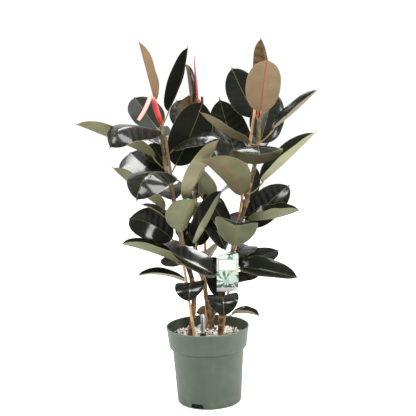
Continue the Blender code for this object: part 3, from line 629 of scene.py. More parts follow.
def slotted_faces(rows, steps, first_outer, last_inner):
    """The pot's quads without those in the slots, and a strip round each slot between the two walls."""
    quads = grid_quads(rows, POT_COLUMNS, around=True)
    row, column = np.divmod(quads[:, 0], POT_COLUMNS)
    outer = (row >= first_outer) & (row < first_outer + SLOT_ROWS)
    inner = (row < last_inner) & (row >= last_inner - SLOT_ROWS)
    in_slot = (steps[column] >= -SLOT_COLUMNS) & (steps[column] < SLOT_COLUMNS)
    faces = [quads[~(in_slot & (outer | inner))]]
    up, along = np.divmod(border(SLOT_ROWS + 1, 2 * SLOT_COLUMNS + 1), 2 * SLOT_COLUMNS + 1)
    for number in range(SLOTS):
        column = (number * COLUMNS_PER_SLOT + along - SLOT_COLUMNS) % POT_COLUMNS
        faces.append(strip(*(row * POT_COLUMNS + column for row in (first_outer + up, last_inner - up))))
    return faces


def make_pot():
    """Row j, column i: (r_j cos a_ij, r_j sin a_ij, height_j), with columns pushed to the slots' sides."""
    rows, first_outer, last_inner = pot_profile()
    radius, height = rows[:, :1], rows[:, 1:]
    angle, steps = column_angles(height)
    points = np.stack([radius * np.cos(angle), radius * np.sin(angle), height + 0 * angle], -1).reshape(-1, 3)
    side = np.arange(POT_COLUMNS)
    fans = [fan(side, len(points)), fan(side + len(points) - POT_COLUMNS, len(points) + 1)]
    piece = Piece("nursery_pot")
    faces = slotted_faces(len(rows), steps, first_outer, last_inner)
    piece.add(np.vstack([points, (0.0, 0.0, 0.0), (0.0, 0.0, FLOOR)]), [*faces, *fans])
    piece.build([pot_plastic], "pot", sharp=55.0, turn_out=True)


make_pot()

# %% [markdown]
# Compost shows only through the drain slots and between the granules. Its solid keeps its shape, and gets
# the near-black of damp peat with paler fibres. The granules over it are a mineral top dressing, cream to
# white. Each has its own tint, and the deeper a point lies, the darker and browner it is painted, as
# painted shade in the gaps between the lumps.

# %% Finishes of compost and granules
def compost_finish():
    finish = Finish("compost", IOR=1.4, Roughness=0.95)
    fibre = finish.noise(420.0, 5.0, 0.7)
    finish.set(Base_Color=finish.ramp(fibre, (0.35, 2, 6, 14), (0.72, 6, 14, 26)))
    finish.bump(fibre, 0.002, 0.8)
    return finish.material


def granule_finish():
    """Cream stone: tone 0 is each lump's own tint, tone 1 how deep a point lies, for a painted shade."""
    finish = Finish("granules", IOR=1.5, Roughness=0.85)
    shade, depth, _, _ = finish.tone()
    pores = finish.noise(1300.0, 3.0, 0.6)
    stone = finish.ramp(shade, (0.0, 224, 210, 192), (0.3, 246, 238, 228), (1.0, 254, 252, 248))
    pored = finish.mix(pores.step(0.56, 0.75) * 0.3, stone, seen(160, 136, 110))
    # Painted shade: the deeper a point lies, the nearer its colour is to dark brown.
    finish.set(Base_Color=finish.mix(depth.step(0.31, 0.62) * 0.95, pored, seen(44, 28, 20)))
    finish.bump(pores, 0.0006, 0.6)
    return finish.material


compost_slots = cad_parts["compost"].data.materials
compost_slots.clear()
compost_slots.append(compost_finish())
granules = granule_finish()
print("finishes:", compost_slots[0].name, granules.name)

# %% [markdown]
# A lump starts as a ball of 32 triangles whose corners are pulled in or out at random. All lumps are
# computed at once as one array: lump, corner, axis. Each is squashed by three half-axes of its own and
# turned by a random quaternion, so that no two look alike.

# %% The shape of a granule
GRANULE = 0.0066


def round_lump():
    """The 18 corners and 32 triangles of an eight-sided ball whose triangles are each cut in four."""
    corners = [(1, 0, 0), (-1, 0, 0), (0, 1, 0), (0, -1, 0), (0, 0, 1), (0, 0, -1)]
    middles, finer = {}, []
    for a, b, c in [(0, 2, 4), (2, 1, 4), (1, 3, 4), (3, 0, 4), (2, 0, 5), (1, 2, 5), (3, 1, 5), (0, 3, 5)]:
        for pair in (tuple(sorted(pair)) for pair in ((a, b), (b, c), (c, a))):
            if pair not in middles:
                middles[pair] = len(corners)
                corners.append(tuple(np.add(corners[pair[0]], corners[pair[1]]) / math.sqrt(2.0)))
        ab, bc, ca = (middles[tuple(sorted(pair))] for pair in ((a, b), (b, c), (c, a)))
        finer += [(a, ab, ca), (ab, b, bc), (ca, bc, c), (ab, bc, ca)]
    return np.array(corners, float), np.array(finer)


def turned(points, quaternions):
    """Points turned by (w, v): each matrix is (w^2 - v.v) I + 2 v v^T + 2 w [v x]."""
    w, v = quaternions[:, :1, None], quaternions[:, 1:]
    crossed, paired = np.cross(v[:, None], np.eye(3)), v[:, :, None] * v[:, None]
    matrix = (w ** 2 - (v ** 2).sum(1)[:, None, None]) * np.eye(3) + 2 * paired - 2 * w * crossed
    return np.einsum("nij,nkj->nki", matrix, points)


def shaped_lumps(ball, count, rng):
    """Lump n: the ball's corners times its three half-axes and a dent each, then turned."""
    half = GRANULE * rng.uniform(0.62, 1.0, (count, 1, 1)) * rng.uniform(0.55, 1.15, (count, 1, 3))
    dent = rng.uniform(0.82, 1.12, (count, len(ball), 1))
    return turned(ball[None] * half * dent, unit(rng.normal(size=(count, 4))))


print("triangles in a granule:", len(round_lump()[1]))

# %% [markdown]
# The granules lie in a bed of their own kind, close-packed, so a slightly rough disc under them closes
# the gaps. It takes their finish at its darkest, dark brown all over, as painted shade in the gaps. It is
# a grid of rings, with a second, flat disc for its underside, and both middles are closed by a fan.

# %% The bed
SOIL_TOP = 0.2040
BED_TOP = 0.2155
BED_SURFACE = BED_TOP - 0.004
BED_UNDERSIDE = SOIL_TOP + 0.001
BED_RINGS = 39
BED_SIDES = 96
BED_ROUGHNESS = 0.0012


def add_bed(piece, radius):
    """Ring r, side k: (R r cos t_k, R r sin t_k, top + a sin 900 x sin 1100 y), and a flat underside."""
    rings, around = radius * np.linspace(0.0, 1.0, BED_RINGS + 1)[1:, None], turns(BED_SIDES)
    disc = np.stack([rings * np.cos(around), rings * np.sin(around), 0 * rings * around], -1)
    top = disc + np.array((0.0, 0.0, BED_SURFACE))
    top[..., 2] += BED_ROUGHNESS * np.sin(disc[..., 0] * 900) * np.sin(disc[..., 1] * 1100)
    under = disc[-1] + np.array((0.0, 0.0, BED_UNDERSIDE))
    points = np.vstack([top.reshape(-1, 3), under])
    side, count = np.arange(BED_SIDES), len(points)
    fans = [fan(side, count), fan(side[::-1] + count - BED_SIDES, count + 1)]
    quads = grid_quads(BED_RINGS + 1, BED_SIDES, around=True)[:, ::-1]
    points = np.vstack([points, (0.0, 0.0, BED_SURFACE), (0.0, 0.0, BED_UNDERSIDE)])
    # Painted shade: the bed's second tone is 1, so all of it takes the dark brown of the deepest lumps.
    piece.add(points, [quads, *fans], tone=(0.0, 1.0, 1.0, 1.0))


print("bed thickness in millimetres:", round((BED_SURFACE - BED_UNDERSIDE) / MM, 1))

# %% [markdown]
# The granules lie by a sunflower rule, the golden angle apart, which covers a disc evenly with no visible
# rows. Each lies a little off its place and sinks by a random drop. None lies where a stem, a cane or the
# gauge stands.

# %% Top dressing
GAUGE_PLACE = (-0.0155, -0.040)
COLLAR_RADIUS = 0.0095
GRANULES = 760
GOLDEN_ANGLE = math.radians(137.508)
LUMP_SHIFT = 0.0015
LUMP_RISE = 0.0024
LUMP_DROP = 0.0070
GRANULE_SHADE_FROM = 0.0050
GRANULE_SHADE_REACH = 0.0090


def clear_places(centres):
    """Whether each centre is clear of all that stands in the granules."""
    standing = [(stem_point(side, BED_TOP), STEM_RADII[side][0] * MM) for side in STEMS]
    standing += [(cane_point(side, BED_TOP), CANE_RADIUS) for side in CANES]
    standing.append((np.array(GAUGE_PLACE), COLLAR_RADIUS))
    away = [np.linalg.norm(centres - place[:2], axis=1) - room for place, room in standing]
    return np.min(away, axis=0) > GRANULE * 0.5


def make_dressing():
    """Lump n of N lies at radius R sqrt(n / N) and angle n times the golden angle, sunk by a random drop."""
    rng = np.random.default_rng(5)
    ball, triangles = round_lump()
    number = np.arange(GRANULES) + 0.5
    limit = wall_radius(BED_TOP, WALL) + BAND_RADIUS - BODY_TOP_RADIUS - GRANULE - 0.001
    radius = limit * np.sqrt(number / GRANULES) + rng.uniform(-LUMP_SHIFT, LUMP_SHIFT, GRANULES)
    angle = number * GOLDEN_ANGLE
    drop = rng.uniform(0.0, 1.0, GRANULES) ** 1.2
    height = BED_TOP + LUMP_RISE - LUMP_DROP * drop
    centre = np.stack([radius * np.cos(angle), radius * np.sin(angle), height], -1)
    lumps = shaped_lumps(ball, GRANULES, rng) + centre[:, None]
    clear = clear_places(centre[:, :2])
    lumps, shade = lumps[clear], rng.uniform(0.0, 1.0, GRANULES)[clear]
    # Painted shade: how deep each point of a lump lies below the top level, from 0 to 1.
    depth = np.clip((BED_TOP + GRANULE_SHADE_FROM - lumps[..., 2]) / GRANULE_SHADE_REACH, 0.0, 1.0)
    faces = (triangles[None] + len(ball) * np.arange(len(lumps))[:, None, None]).reshape(-1, 3)
    piece = Piece("mineral_granules")
    piece.add(lumps, [faces], tone=tones(shade[:, None], depth, 1.0, 1.0))
    add_bed(piece, limit + GRANULE * 0.9)
    piece.build([granules], "top_dressing", sharp=38.0)


make_dressing()

# %% [markdown]
# A ficus blade has two very different sides. Above it is near-black green under a clear wax, so it shows
# less its own colour than the pale streaks of what it reflects, broken by side veins that run almost
# straight across. Both sides read the same two lengths from the UV map: how far along the blade a point
# lies, and how far from the midrib. A cosine of the two, leaned forward, gives the side veins at their
# real spacing on every leaf.

# %% Upper side of the blades
PLACE_SPAN = 0.4
VEIN_SPACING = 0.0085
QUILT_SPACING = 0.024
VEIN_LEAN = 0.42


def blade_lines(finish):
    """Metres from the midrib, side veins as ridges from 0 to 1, and broad swells between strong ones."""
    along, across = finish.place()
    across = abs((across - 0.5) * PLACE_SPAN)
    drift = finish.noise(30.0, 2.0)
    lean = along * PLACE_SPAN - across * VEIN_LEAN
    veins = ((lean + drift * 0.006) * (math.tau / VEIN_SPACING)).cosine() * 0.5 + 0.5
    swells = ((lean + drift * 0.007) * (math.tau / QUILT_SPACING)).cosine() * 0.5 + 0.5
    return across, veins, swells


def blade_above_finish():
    """Waxed green: the tones are how near the margin, how tan below, how glossy, and the leaf's own shade."""
    finish = Finish("blade_above", IOR=1.2, Coat_Roughness=0.13)
    across, veins, swells = blade_lines(finish)
    edge, tan, gloss, shade = finish.tone()
    cloud, buckle = finish.noise(16.0, 3.0), finish.noise(9.0, 0.0)
    green = finish.ramp(cloud * 0.6 + shade * 0.4, (0.25, 6, 9, 4), (0.55, 12, 15, 8), (0.85, 24, 30, 16))
    bronze = finish.mix(tan.step(0.85, 0.95), green, seen(98, 78, 54))
    veined = finish.mix(veins ** 6.0 * 0.12, bronze, seen(58, 62, 42))
    ribbed = finish.mix((1.0 - across.step(0.0005, 0.0014)) * 0.55, veined, seen(112, 108, 66))
    finish.set(Base_Color=finish.mix(edge.step(0.965, 0.99) * 0.45, ribbed, seen(140, 134, 92)))
    finish.set(Roughness=0.50 + cloud * 0.08, Coat_Weight=gloss * 0.8)
    finish.bump(veins * 0.05 + swells * gloss * 1.9 + buckle * 3.0, 0.0012)
    return finish.material


blade_above = blade_above_finish()
print("finish:", blade_above.name)

# %% [markdown]
# Below, a blade is satin, olive on young leaves and tan on old ones, with a red-brown midrib that stands
# proud. Old leaves show the redder rib.

# %% Lower side of the blades
def blade_below_finish():
    finish = Finish("blade_below", IOR=1.42)
    across, veins, _ = blade_lines(finish)
    edge, tan, _, shade = finish.tone()
    cloud, mottle = finish.noise(24.0, 4.0), finish.noise(190.0, 3.0)
    tint = cloud * 0.45 + shade * 0.45 + mottle * 0.10
    olive = finish.ramp(tint, (0.2, 70, 76, 50), (0.5, 100, 104, 74), (0.8, 126, 129, 98))
    brown = finish.ramp(tint, (0.2, 99, 78, 51), (0.5, 114, 90, 61), (0.8, 134, 106, 75))
    veined = finish.mix(veins ** 7.0 * 0.07, finish.mix(tan, olive, brown), seen(160, 152, 112))
    midrib = (1.0 - across.step(0.0009, 0.0027)) * (tan * 0.35 + 0.5)
    ribbed = finish.mix(midrib, veined, seen(128, 56, 38))
    finish.set(Base_Color=finish.mix(edge.step(0.965, 0.99) * 0.4, ribbed, seen(168, 150, 108)))
    finish.set(Roughness=0.48 + mottle * 0.14)
    finish.bump(veins ** 3.0 * 0.25 + cloud * 0.75, 0.0007, 0.5)
    return finish.material


blade_below = blade_below_finish()
print("finish:", blade_below.name)

# %% [markdown]
# Stems change along their height: orange-brown and scarred at the foot, grey-brown with dark patches
# through the crown, and green where they still grow. Each node leaves a ring round the stem where a
# sheath once sat. The rings come with the mesh as the first tone, and Object coordinates give the height.

# %% Finishes of bark and stalks
def bark_finish():
    finish = Finish("bark", IOR=1.4)
    ring, _, _, _ = finish.tone()
    height = finish.axes(finish.coordinates())[2]
    blotch, fissure = finish.noise(70.0, 4.0, 0.6), finish.noise(420.0, 4.0, 0.6, (1.0, 1.0, 0.16))
    foot = finish.ramp(blotch, (0.34, 46, 28, 14), (0.5, 108, 72, 36), (0.68, 156, 114, 66))
    crown = finish.ramp(blotch, (0.34, 58, 40, 28), (0.52, 112, 90, 66), (0.7, 142, 126, 100))
    young = finish.ramp(blotch, (0.34, 84, 72, 42), (0.6, 122, 112, 66))
    bark = finish.mix(height.step(0.72, 0.90), finish.mix(height.step(0.30, 0.52), foot, crown), young)
    cracked = finish.mix((1.0 - fissure.step(0.34, 0.5)) * 0.5, bark, seen(48, 34, 24))
    finish.set(Base_Color=finish.mix(ring * 0.5, cracked, seen(168, 150, 116)))
    finish.set(Roughness=0.72 - height.step(0.72, 0.9) * 0.25)
    finish.bump(fissure * 0.7 + blotch * 0.3, 0.0009, 0.8)
    return finish.material


def stalk_finish():
    """Green-brown stalk: tone 0 is how near the point lies to one of its two swollen joints."""
    finish = Finish("stalk", IOR=1.42, Roughness=0.42)
    joint, tan, _, shade = finish.tone()
    streak = finish.noise(260.0, 3.0)
    body = finish.ramp(streak * 0.5 + shade * 0.5, (0.2, 92, 88, 50), (0.8, 136, 122, 74))
    flushed = finish.mix(tan * 0.5, body, seen(158, 96, 66))
    finish.set(Base_Color=finish.mix(joint * 0.55, flushed, seen(176, 164, 122)))
    finish.bump(streak, 0.0004, 0.5)
    return finish.material


plant_finishes = [blade_above, blade_below, bark_finish(), stalk_finish()]
ABOVE, BELOW, BARK, STALK = range(4)
print("finishes of the plant:", [finish.name for finish in plant_finishes])

# %% [markdown]
# One blade. Its midrib is the quadratic curve through the blade's three points, as in the solid, and the
# blade runs sideways from it by its half width. What the plain solid leaves out is added here: a soft
# trough in place of a sharp fold, and margins that ripple and roll under a little.

# %% The sheet of a blade
BLADE_ROWS = 41
BLADE_COLUMNS = 17
TROUGH_SOFTNESS = 0.012
MARGIN_ROLL = 0.05


def half_width(share):
    """Half the blade's width for a width of one: 0.5 (1 - |2 a^0.95 - 1|^2.3)^0.6, a = share / 0.955, or
    the drip tip where that is wider."""
    along = np.clip(share / 0.955, 0.0, 1.0)
    body = (1.0 - np.abs(2.0 * along ** 0.95 - 1.0) ** 2.3) ** 0.6
    tip = 0.004 + 0.068 * np.clip((1.0 - share) / 0.1, 0.0, 1.0) ** 0.75
    return 0.5 * (body ** 8 + tip ** 8) ** 0.125


def trough(across):
    """The blade's rise at v across it, 0 to 1: (sqrt(v^2 + e) - sqrt e) / (sqrt(1 + e) - sqrt e)."""
    low, high = math.sqrt(TROUGH_SOFTNESS), math.sqrt(1 + TROUGH_SOFTNESS)
    return (np.sqrt(across ** 2 + TROUGH_SOFTNESS) - low) / (high - low)


def blade_sheet(begin, middle, tip, face, width, fold, ripple):
    """Point (s, v) = midrib(s) + aside v w(s) cos fold + normal (trough(v) w(s) sin fold + ripple - roll)."""
    share = (0.5 - 0.5 * np.cos(np.linspace(0.0, math.pi, BLADE_ROWS)))[:, None]
    control = control_through(begin, middle, tip)
    along = unit((1 - share) * (control - begin) + share * (tip - control))
    aside = np.broadcast_to(unit(np.cross(tip - begin, face)), along.shape)
    normal = unit(np.cross(aside, along))
    even = np.linspace(-1.0, 1.0, BLADE_COLUMNS)
    across = (np.sign(even) * np.abs(even) ** 1.35)[None]
    reach = width * half_width(share)
    phase = math.tau * (ripple[1] * share + ripple[2]) + 1.1 * np.sign(across)
    wave = np.sin(phase) * np.sin(math.pi * share) ** 0.5
    lift = trough(across) * reach * math.sin(fold) + ripple[0] * width * across ** 2 * wave
    lift = (lift - MARGIN_ROLL * reach * across ** 4)[..., None]
    run = (across * reach * math.cos(fold))[..., None]
    sheet = bent(begin, control, tip, share)[:, None] + aside[:, None] * run + normal[:, None] * lift
    return share, across, reach, sheet, along, normal


widest = np.argmax(half_width(np.linspace(0.0, 1.0, 101)))
print("a blade is widest at", widest, "hundredths of its length")

# %% [markdown]
# The sheet is then given a body: a blade thins towards its edge, and has a groove along the top of the
# midrib and a round rib below it. Upper and lower sides are two grids joined by a rim. The leaf hangs on
# a round stalk with a swollen joint at each end, which sags a little under it.

# %% One leaf
BLADE_THICKNESS = 0.0010
GROOVE_DEPTH = 0.0004
RIB_DEPTH = 0.0014
RIB_REACH = 0.0017
STALK_RADIUS = 0.0023
STALK_STATIONS = 11
STALK_SIDES = 10
STALK_SAG = 0.15
STALK_OVERLAP = 0.008
STALK_BELOW = 0.0012
STALK_JOINTS = ((0.0, 0.14, 1.0), (0.86, 0.09, 0.6))


def add_blade(piece, begin, middle, tip, face, width, fold, tan, gloss, rng):
    """A blade's two sides and the rim between them. Half thickness: T/2 (1 - 0.6 |v|^6), more at the rib."""
    ripple = (rng.uniform(0.008, 0.020), rng.uniform(1.6, 2.8), rng.uniform(0.0, 1.0))
    shade = rng.uniform(0.0, 1.0)
    share, across, reach, sheet, along, normal = blade_sheet(begin, middle, tip, face, width, fold, ripple)
    half = BLADE_THICKNESS / 2 * (1.0 - 0.6 * np.abs(across) ** 6)
    rib = np.exp(-(across * reach / RIB_REACH) ** 2) * (1.0 - share) ** 0.6
    top = sheet + normal[:, None] * (half - GROOVE_DEPTH * rib)[..., None]
    under = sheet - normal[:, None] * (half + RIB_DEPTH * rib)[..., None]
    length = np.linalg.norm(np.diff(sheet[:, BLADE_COLUMNS // 2], axis=0), axis=1).sum()
    place = np.stack(np.broadcast_arrays(share * length / PLACE_SPAN, 0.5 + across * reach / PLACE_SPAN), -1)
    tone = tones(np.abs(across) + 0 * reach, tan, gloss, shade)
    faces = sheet_faces(BLADE_ROWS, BLADE_COLUMNS)
    piece.add(np.stack([top, under]), faces, (ABOVE, BELOW), np.stack([place, place]), np.tile(tone, (2, 1)))
    return along[0], normal[0], shade


def add_leaf(piece, side, row, rng):
    """A blade and its stalk from a row of the table. Stalk radius: r (0.88 + 0.5 joints), pinched at the end,
    with a joint of height h exp(-((s - place) / reach)^2) at each place (place, reach, h)."""
    height, begin, middle, tip, face, width, fold, tan, gloss = row
    node = stem_point(side, height * MM)
    begin, middle, tip = (node + np.array(point, float) * MM for point in (begin, middle, tip))
    width, fold, face = width * MM, math.radians(fold), np.array(face, float)
    along, normal, shade = add_blade(piece, begin, middle, tip, face, width, fold, tan, gloss, rng)
    sag = np.array((0.0, 0.0, -STALK_SAG)) * np.linalg.norm(begin - node)
    end = begin + STALK_OVERLAP * along - STALK_BELOW * normal
    share = np.linspace(0.0, 1.0, STALK_STATIONS)
    path = bent(node, control_through(node, (node + begin) / 2 + sag, end), end, share[:, None])
    joint = sum(swell * np.exp(-((share - place) / reach) ** 2) for place, reach, swell in STALK_JOINTS)
    radius = STALK_RADIUS * (0.88 + 0.5 * joint) * np.where(share > 0.93, 0.55, 1.0)
    marks = np.concatenate([np.repeat(joint, STALK_SIDES), joint[[0, -1]]])
    piece.add(*tube(path, radius, STALK_SIDES), STALK, tone=tones(marks, tan, gloss, shade))


print("faces of a blade:", sum(len(block) for block in sheet_faces(BLADE_ROWS, BLADE_COLUMNS)))

# %% [markdown]
# A stem is a tube along its centreline, thinner with height, with a raised ring at each node and a dome
# at its growing tip. Below the lowest leaves the rings go on where older leaves have dropped. The stem
# and its leaves are one grown thing, so one piece gathers them and stands for the stem's solid.

# %% Leafy stems
STEM_SIDES = 24
STEM_STATIONS = 420
OLD_NODE_SPACING = 0.034
RING_HEIGHT, RING_REACH = 0.10, 0.0016
SWELLING_HEIGHT, SWELLING_REACH = 0.06, 0.006
LUMP_HEIGHT, LUMP_WAVES = 0.012, 6
DOME_REACH = 0.006


def bumps(places, centres, reach):
    """The sum of exp(-((h - node) / reach)^2) over the nodes, kept to 1."""
    return np.exp(-((places[:, None] - np.array(centres)) / reach) ** 2).sum(1).clip(0, 1)


def add_stem(piece, side, rng):
    """Radius at height h: taper(h) (1 + 0.10 rings + 0.06 swellings + lumps), with a dome at the top."""
    path = eased(np.array(STEMS[side], float) * MM, STEM_STATIONS)
    heights = path[:, 2]
    low, high = STEM_RADII[side]
    share = (heights - heights[0]) / (heights[-1] - heights[0])
    taper = (low + (high - low) * share ** 0.8) * MM
    nodes = [row[0] * MM for row in LEAVES[side]]
    nodes += list(np.arange(BED_TOP + 0.01, min(nodes), OLD_NODE_SPACING) + rng.uniform(-0.006, 0.006))
    rings, swellings = bumps(heights, nodes, RING_REACH), bumps(heights, nodes, SWELLING_REACH)
    lumps = np.zeros((STEM_STATIONS, STEM_SIDES))
    for _ in range(LUMP_WAVES):
        pitch, lobes, phase = rng.uniform(60, 260), rng.integers(1, 4), rng.uniform(0, math.tau)
        lumps += LUMP_HEIGHT * np.sin(heights[:, None] * pitch + lobes * turns(STEM_SIDES) + phase)
    radius = taper[:, None] * (1.0 + (RING_HEIGHT * rings + SWELLING_HEIGHT * swellings)[:, None] + lumps)
    from_tip = np.clip((heights[-1] - heights) / DOME_REACH, 0.0, 1.0)
    radius *= np.sqrt(1.0 - (1.0 - from_tip) ** 2)[:, None] * 0.97 + 0.03
    marks = np.concatenate([np.repeat(rings, STEM_SIDES), (0.0, 0.0)])
    piece.add(*tube(path, radius, STEM_SIDES), BARK, tone=tones(marks))


for seed, side in enumerate(STEMS, start=11):
    rng = np.random.default_rng(seed)
    piece = Piece(f"ficus_stem_{side}")
    add_stem(piece, side, rng)
    for row in LEAVES[side]:
        add_leaf(piece, side, row, rng)
    piece.build(plant_finishes, f"leafy_stem_{side}", sharp=60.0)

# %% [markdown]
# The canes are bamboo: pale tan, with fine fibres along them and a swollen joint every hand's width,
# darker just under its ridge. A cane is a nearly straight tube whose radius swells at the joints. High in
# the crown, where the leaves shade it, a cane is painted dark brown in patches, as painted shade. How
# much comes with the mesh as the second tone.

# %% Bamboo canes
CANE_SIDES = 20
CANE_STATIONS = 300
JOINT_SPACING = 0.128
JOINT_HEIGHT, JOINT_REACH = 0.16, 0.0024
SHADOW_DEPTH, SHADOW_REACH, SHADOW_BELOW = 0.05, 0.0022, 0.004
CANE_SHADE_FROM = {"left": 0.44, "middle": 0.80, "right": 1.20}
CANE_SHADE_OVER = 0.12


def bamboo_finish():
    """Straw-brown skin: tone 0 marks the shadow under each joint, tone 1 the painted shade in the crown."""
    finish = Finish("bamboo", IOR=1.45)
    joint, crown_shade, _, _ = finish.tone()
    fibre = finish.noise(900.0, 3.0, 0.5, (1.0, 1.0, 0.03))
    patch = finish.noise(60.0, 3.0, 0.5, (1.0, 1.0, 0.3))
    shade = fibre * 0.4 + patch * 0.6
    skin = finish.ramp(shade, (0.3, 156, 112, 72), (0.5, 196, 156, 112), (0.75, 222, 190, 146))
    # Painted shade: dark brown patches high in the crown, where the leaves shade the cane.
    shaded_skin = finish.mix(crown_shade * (0.5 + patch * 0.6), skin, seen(62, 44, 30))
    finish.set(Base_Color=finish.mix(joint * 0.7, shaded_skin, seen(112, 80, 52)))
    finish.set(Roughness=0.48 + patch * 0.2)
    finish.bump(fibre, 0.0003, 0.6)
    return finish.material


def make_cane(side, seed, bamboo):
    """Radius at length l from the foot: R (0.97 + 0.16 ridges - 0.05 shadows), both sums of bumps."""
    rng = np.random.default_rng(seed)
    foot, high = cane_point(side, CANE_FOOT), np.array(CANES[side][1], float) * MM
    share = np.linspace(0.0, 1.0, CANE_STATIONS)
    length = share * np.linalg.norm(high - foot)
    joints = np.arange(rng.uniform(0.02, 0.1), length[-1], JOINT_SPACING)
    ridge, shadow = bumps(length, joints, JOINT_REACH), bumps(length, joints - SHADOW_BELOW, SHADOW_REACH)
    sway = np.sin(length * 9.0 + rng.uniform(0, math.tau))[:, None] * np.array((0.0006, 0.0003, 0.0))
    path = foot + (high - foot) * share[:, None] + sway
    radius = CANE_RADIUS * (0.97 + JOINT_HEIGHT * ridge - SHADOW_DEPTH * shadow)
    points, faces = tube(path, radius, CANE_SIDES)
    marks = np.concatenate([np.repeat(shadow, CANE_SIDES), (0.2, 1.0)])
    # Painted shade in the crown, rising with height from each cane's own start; the left cane's starts
    # lowest.
    crown_shade = ((points[:, 2] - CANE_SHADE_FROM[side]) / CANE_SHADE_OVER).clip(0.0, 1.0)
    piece = Piece(f"bamboo_{side}")
    piece.add(points, faces, tone=tones(marks, crown_shade))
    piece.build([bamboo], f"cane_{side}", sharp=50.0)


bamboo = bamboo_finish()
for seed, side in enumerate(CANES, start=31):
    make_cane(side, seed, bamboo)

# %% [markdown]
# The water gauge stands in the granules: a milky tube with a domed end and a blue level line down its
# front, in a dark green collar. All are moulded plastic, one colour clouded with a second, with a fine
# grain, so one function makes their finishes, and the tie's.

# %% Finish of moulded plastics
def plastic_finish(name, colour, mottled, roughness, grain_scale, grain_depth):
    """One colour clouded with a second."""
    finish = Finish(name, IOR=1.47)
    cloud, grain = finish.noise(120.0, 3.0), finish.noise(grain_scale, 2.0)
    finish.set(Base_Color=finish.mix(cloud.step(0.35, 0.75), seen(*colour), seen(*mottled)))
    finish.set(Roughness=roughness + grain * 0.12)
    finish.bump(grain, grain_depth, 0.4)
    return finish.material


milky = plastic_finish("gauge_milky", (206, 212, 210), (228, 232, 230), 0.16, 300.0, 0.0001)
blue = plastic_finish("gauge_blue", (38, 92, 176), (52, 112, 196), 0.3, 300.0, 0.0001)
green = plastic_finish("gauge_green", (28, 48, 36), (40, 62, 48), 0.4, 400.0, 0.0002)
print("finishes:", milky.name, blue.name, green.name)

# %% [markdown]
# The tube and line are rings along a straight path, with radii that close at the dome. The line's rings
# are flat ovals. The collar is an oval ring carried round a circle.

# %% Water gauge
GAUGE_RADIUS = 0.0065
GAUGE_TOP = 0.297
GAUGE_FOOT = 0.080
GAUGE_SIDES = 28
COLLAR_HEIGHT = 0.024
COLLAR_ABOVE_BED = 0.002
COLLAR_PLAY = 0.0001
COLLAR_STATIONS, COLLAR_SIDES = 40, 14
LINE_BOTTOM = BED_TOP + 0.0245
LINE_TOP = GAUGE_TOP - 0.008
LINE_HALF_WIDTH, LINE_HALF_DEPTH = 0.0013, 0.0007
LINE_SUNK = 0.0002
LINE_DOME = 0.0012


def oval(half_aside, half_across, sides):
    """Radii round an oval ring: 1 / sqrt((cos t / a)^2 + (sin t / b)^2)."""
    turn = turns(sides)
    return 1.0 / np.sqrt((np.cos(turn) / half_aside) ** 2 + (np.sin(turn) / half_across) ** 2)


def make_rod(name, finish, node, place, bottom, top, ring, dome, stations):
    """A straight rod whose ring has given radii, full up to the dome, which follows a quarter circle."""
    turn = np.linspace(0.0, math.pi / 2, 9)[1:]
    heights = np.concatenate([np.linspace(bottom, top - dome, stations), top - dome + dome * np.sin(turn)])
    factor = np.concatenate([np.ones(stations), np.cos(turn) * 0.98 + 0.02])
    path = np.stack(np.broadcast_arrays(*place, heights), -1)
    piece = Piece(name)
    piece.add(*tube(path, factor[:, None] * ring, len(ring)))
    piece.build([finish], node)


def make_collar():
    """Centre + m (cos t, sin t, 0), m half way between the tube and the collar's outside."""
    turn = turns(COLLAR_STATIONS)
    middle = (GAUGE_RADIUS + COLLAR_RADIUS) / 2 + COLLAR_PLAY
    height = 0 * turn + BED_TOP + COLLAR_ABOVE_BED + COLLAR_HEIGHT / 2
    x, y = GAUGE_PLACE
    loop = np.stack([x + middle * np.cos(turn), y + middle * np.sin(turn), height], -1)
    ring = oval((COLLAR_RADIUS - GAUGE_RADIUS) / 2 - COLLAR_PLAY, COLLAR_HEIGHT / 2, COLLAR_SIDES)
    piece = Piece("gauge_ring")
    piece.add(*tube(loop, np.tile(ring, (COLLAR_STATIONS, 1)), COLLAR_SIDES, closed=True))
    piece.build([green], "gauge_collar", turn_out=True)


line_place = (GAUGE_PLACE[0], GAUGE_PLACE[1] - GAUGE_RADIUS + LINE_SUNK)
round_ring, flat_ring = np.full(GAUGE_SIDES, GAUGE_RADIUS), oval(LINE_HALF_WIDTH, LINE_HALF_DEPTH, 16)
make_rod("gauge_rod", milky, "gauge_tube", GAUGE_PLACE, GAUGE_FOOT, GAUGE_TOP, round_ring, GAUGE_RADIUS, 24)
make_rod("gauge_line", blue, "gauge_float", line_place, LINE_BOTTOM, LINE_TOP, flat_ring, LINE_DOME, 12)
make_collar()

# %% [markdown]
# A printed card hangs from the right stem, a little askew. Its picture is a fan of blue-green leaves. The
# UV map holds the place of each point on the upright card, and masks worked out from that place lay one
# colour over another, as a printer lays inks. A cosine of the angle round one place gives the leaves.

# %% Picture on the plant tag
FAN = (0.0638, 0.4110)
FAN_LEAVES = 9.0
FAN_TWIST = 90.0


def inside_box(x, z, left, right, low, high, soft=0.0003):
    """1 inside a rectangle, falling to 0 over a soft edge."""
    wide = x.step(left - soft, left + soft) * (1.0 - x.step(right - soft, right + soft))
    return wide * z.step(low - soft, low + soft) * (1.0 - z.step(high - soft, high + soft))


def apart(right, up):
    """How far a point lies from a place, from the two distances to it: sqrt(r^2 + u^2)."""
    return (right * right + up * up) ** 0.5


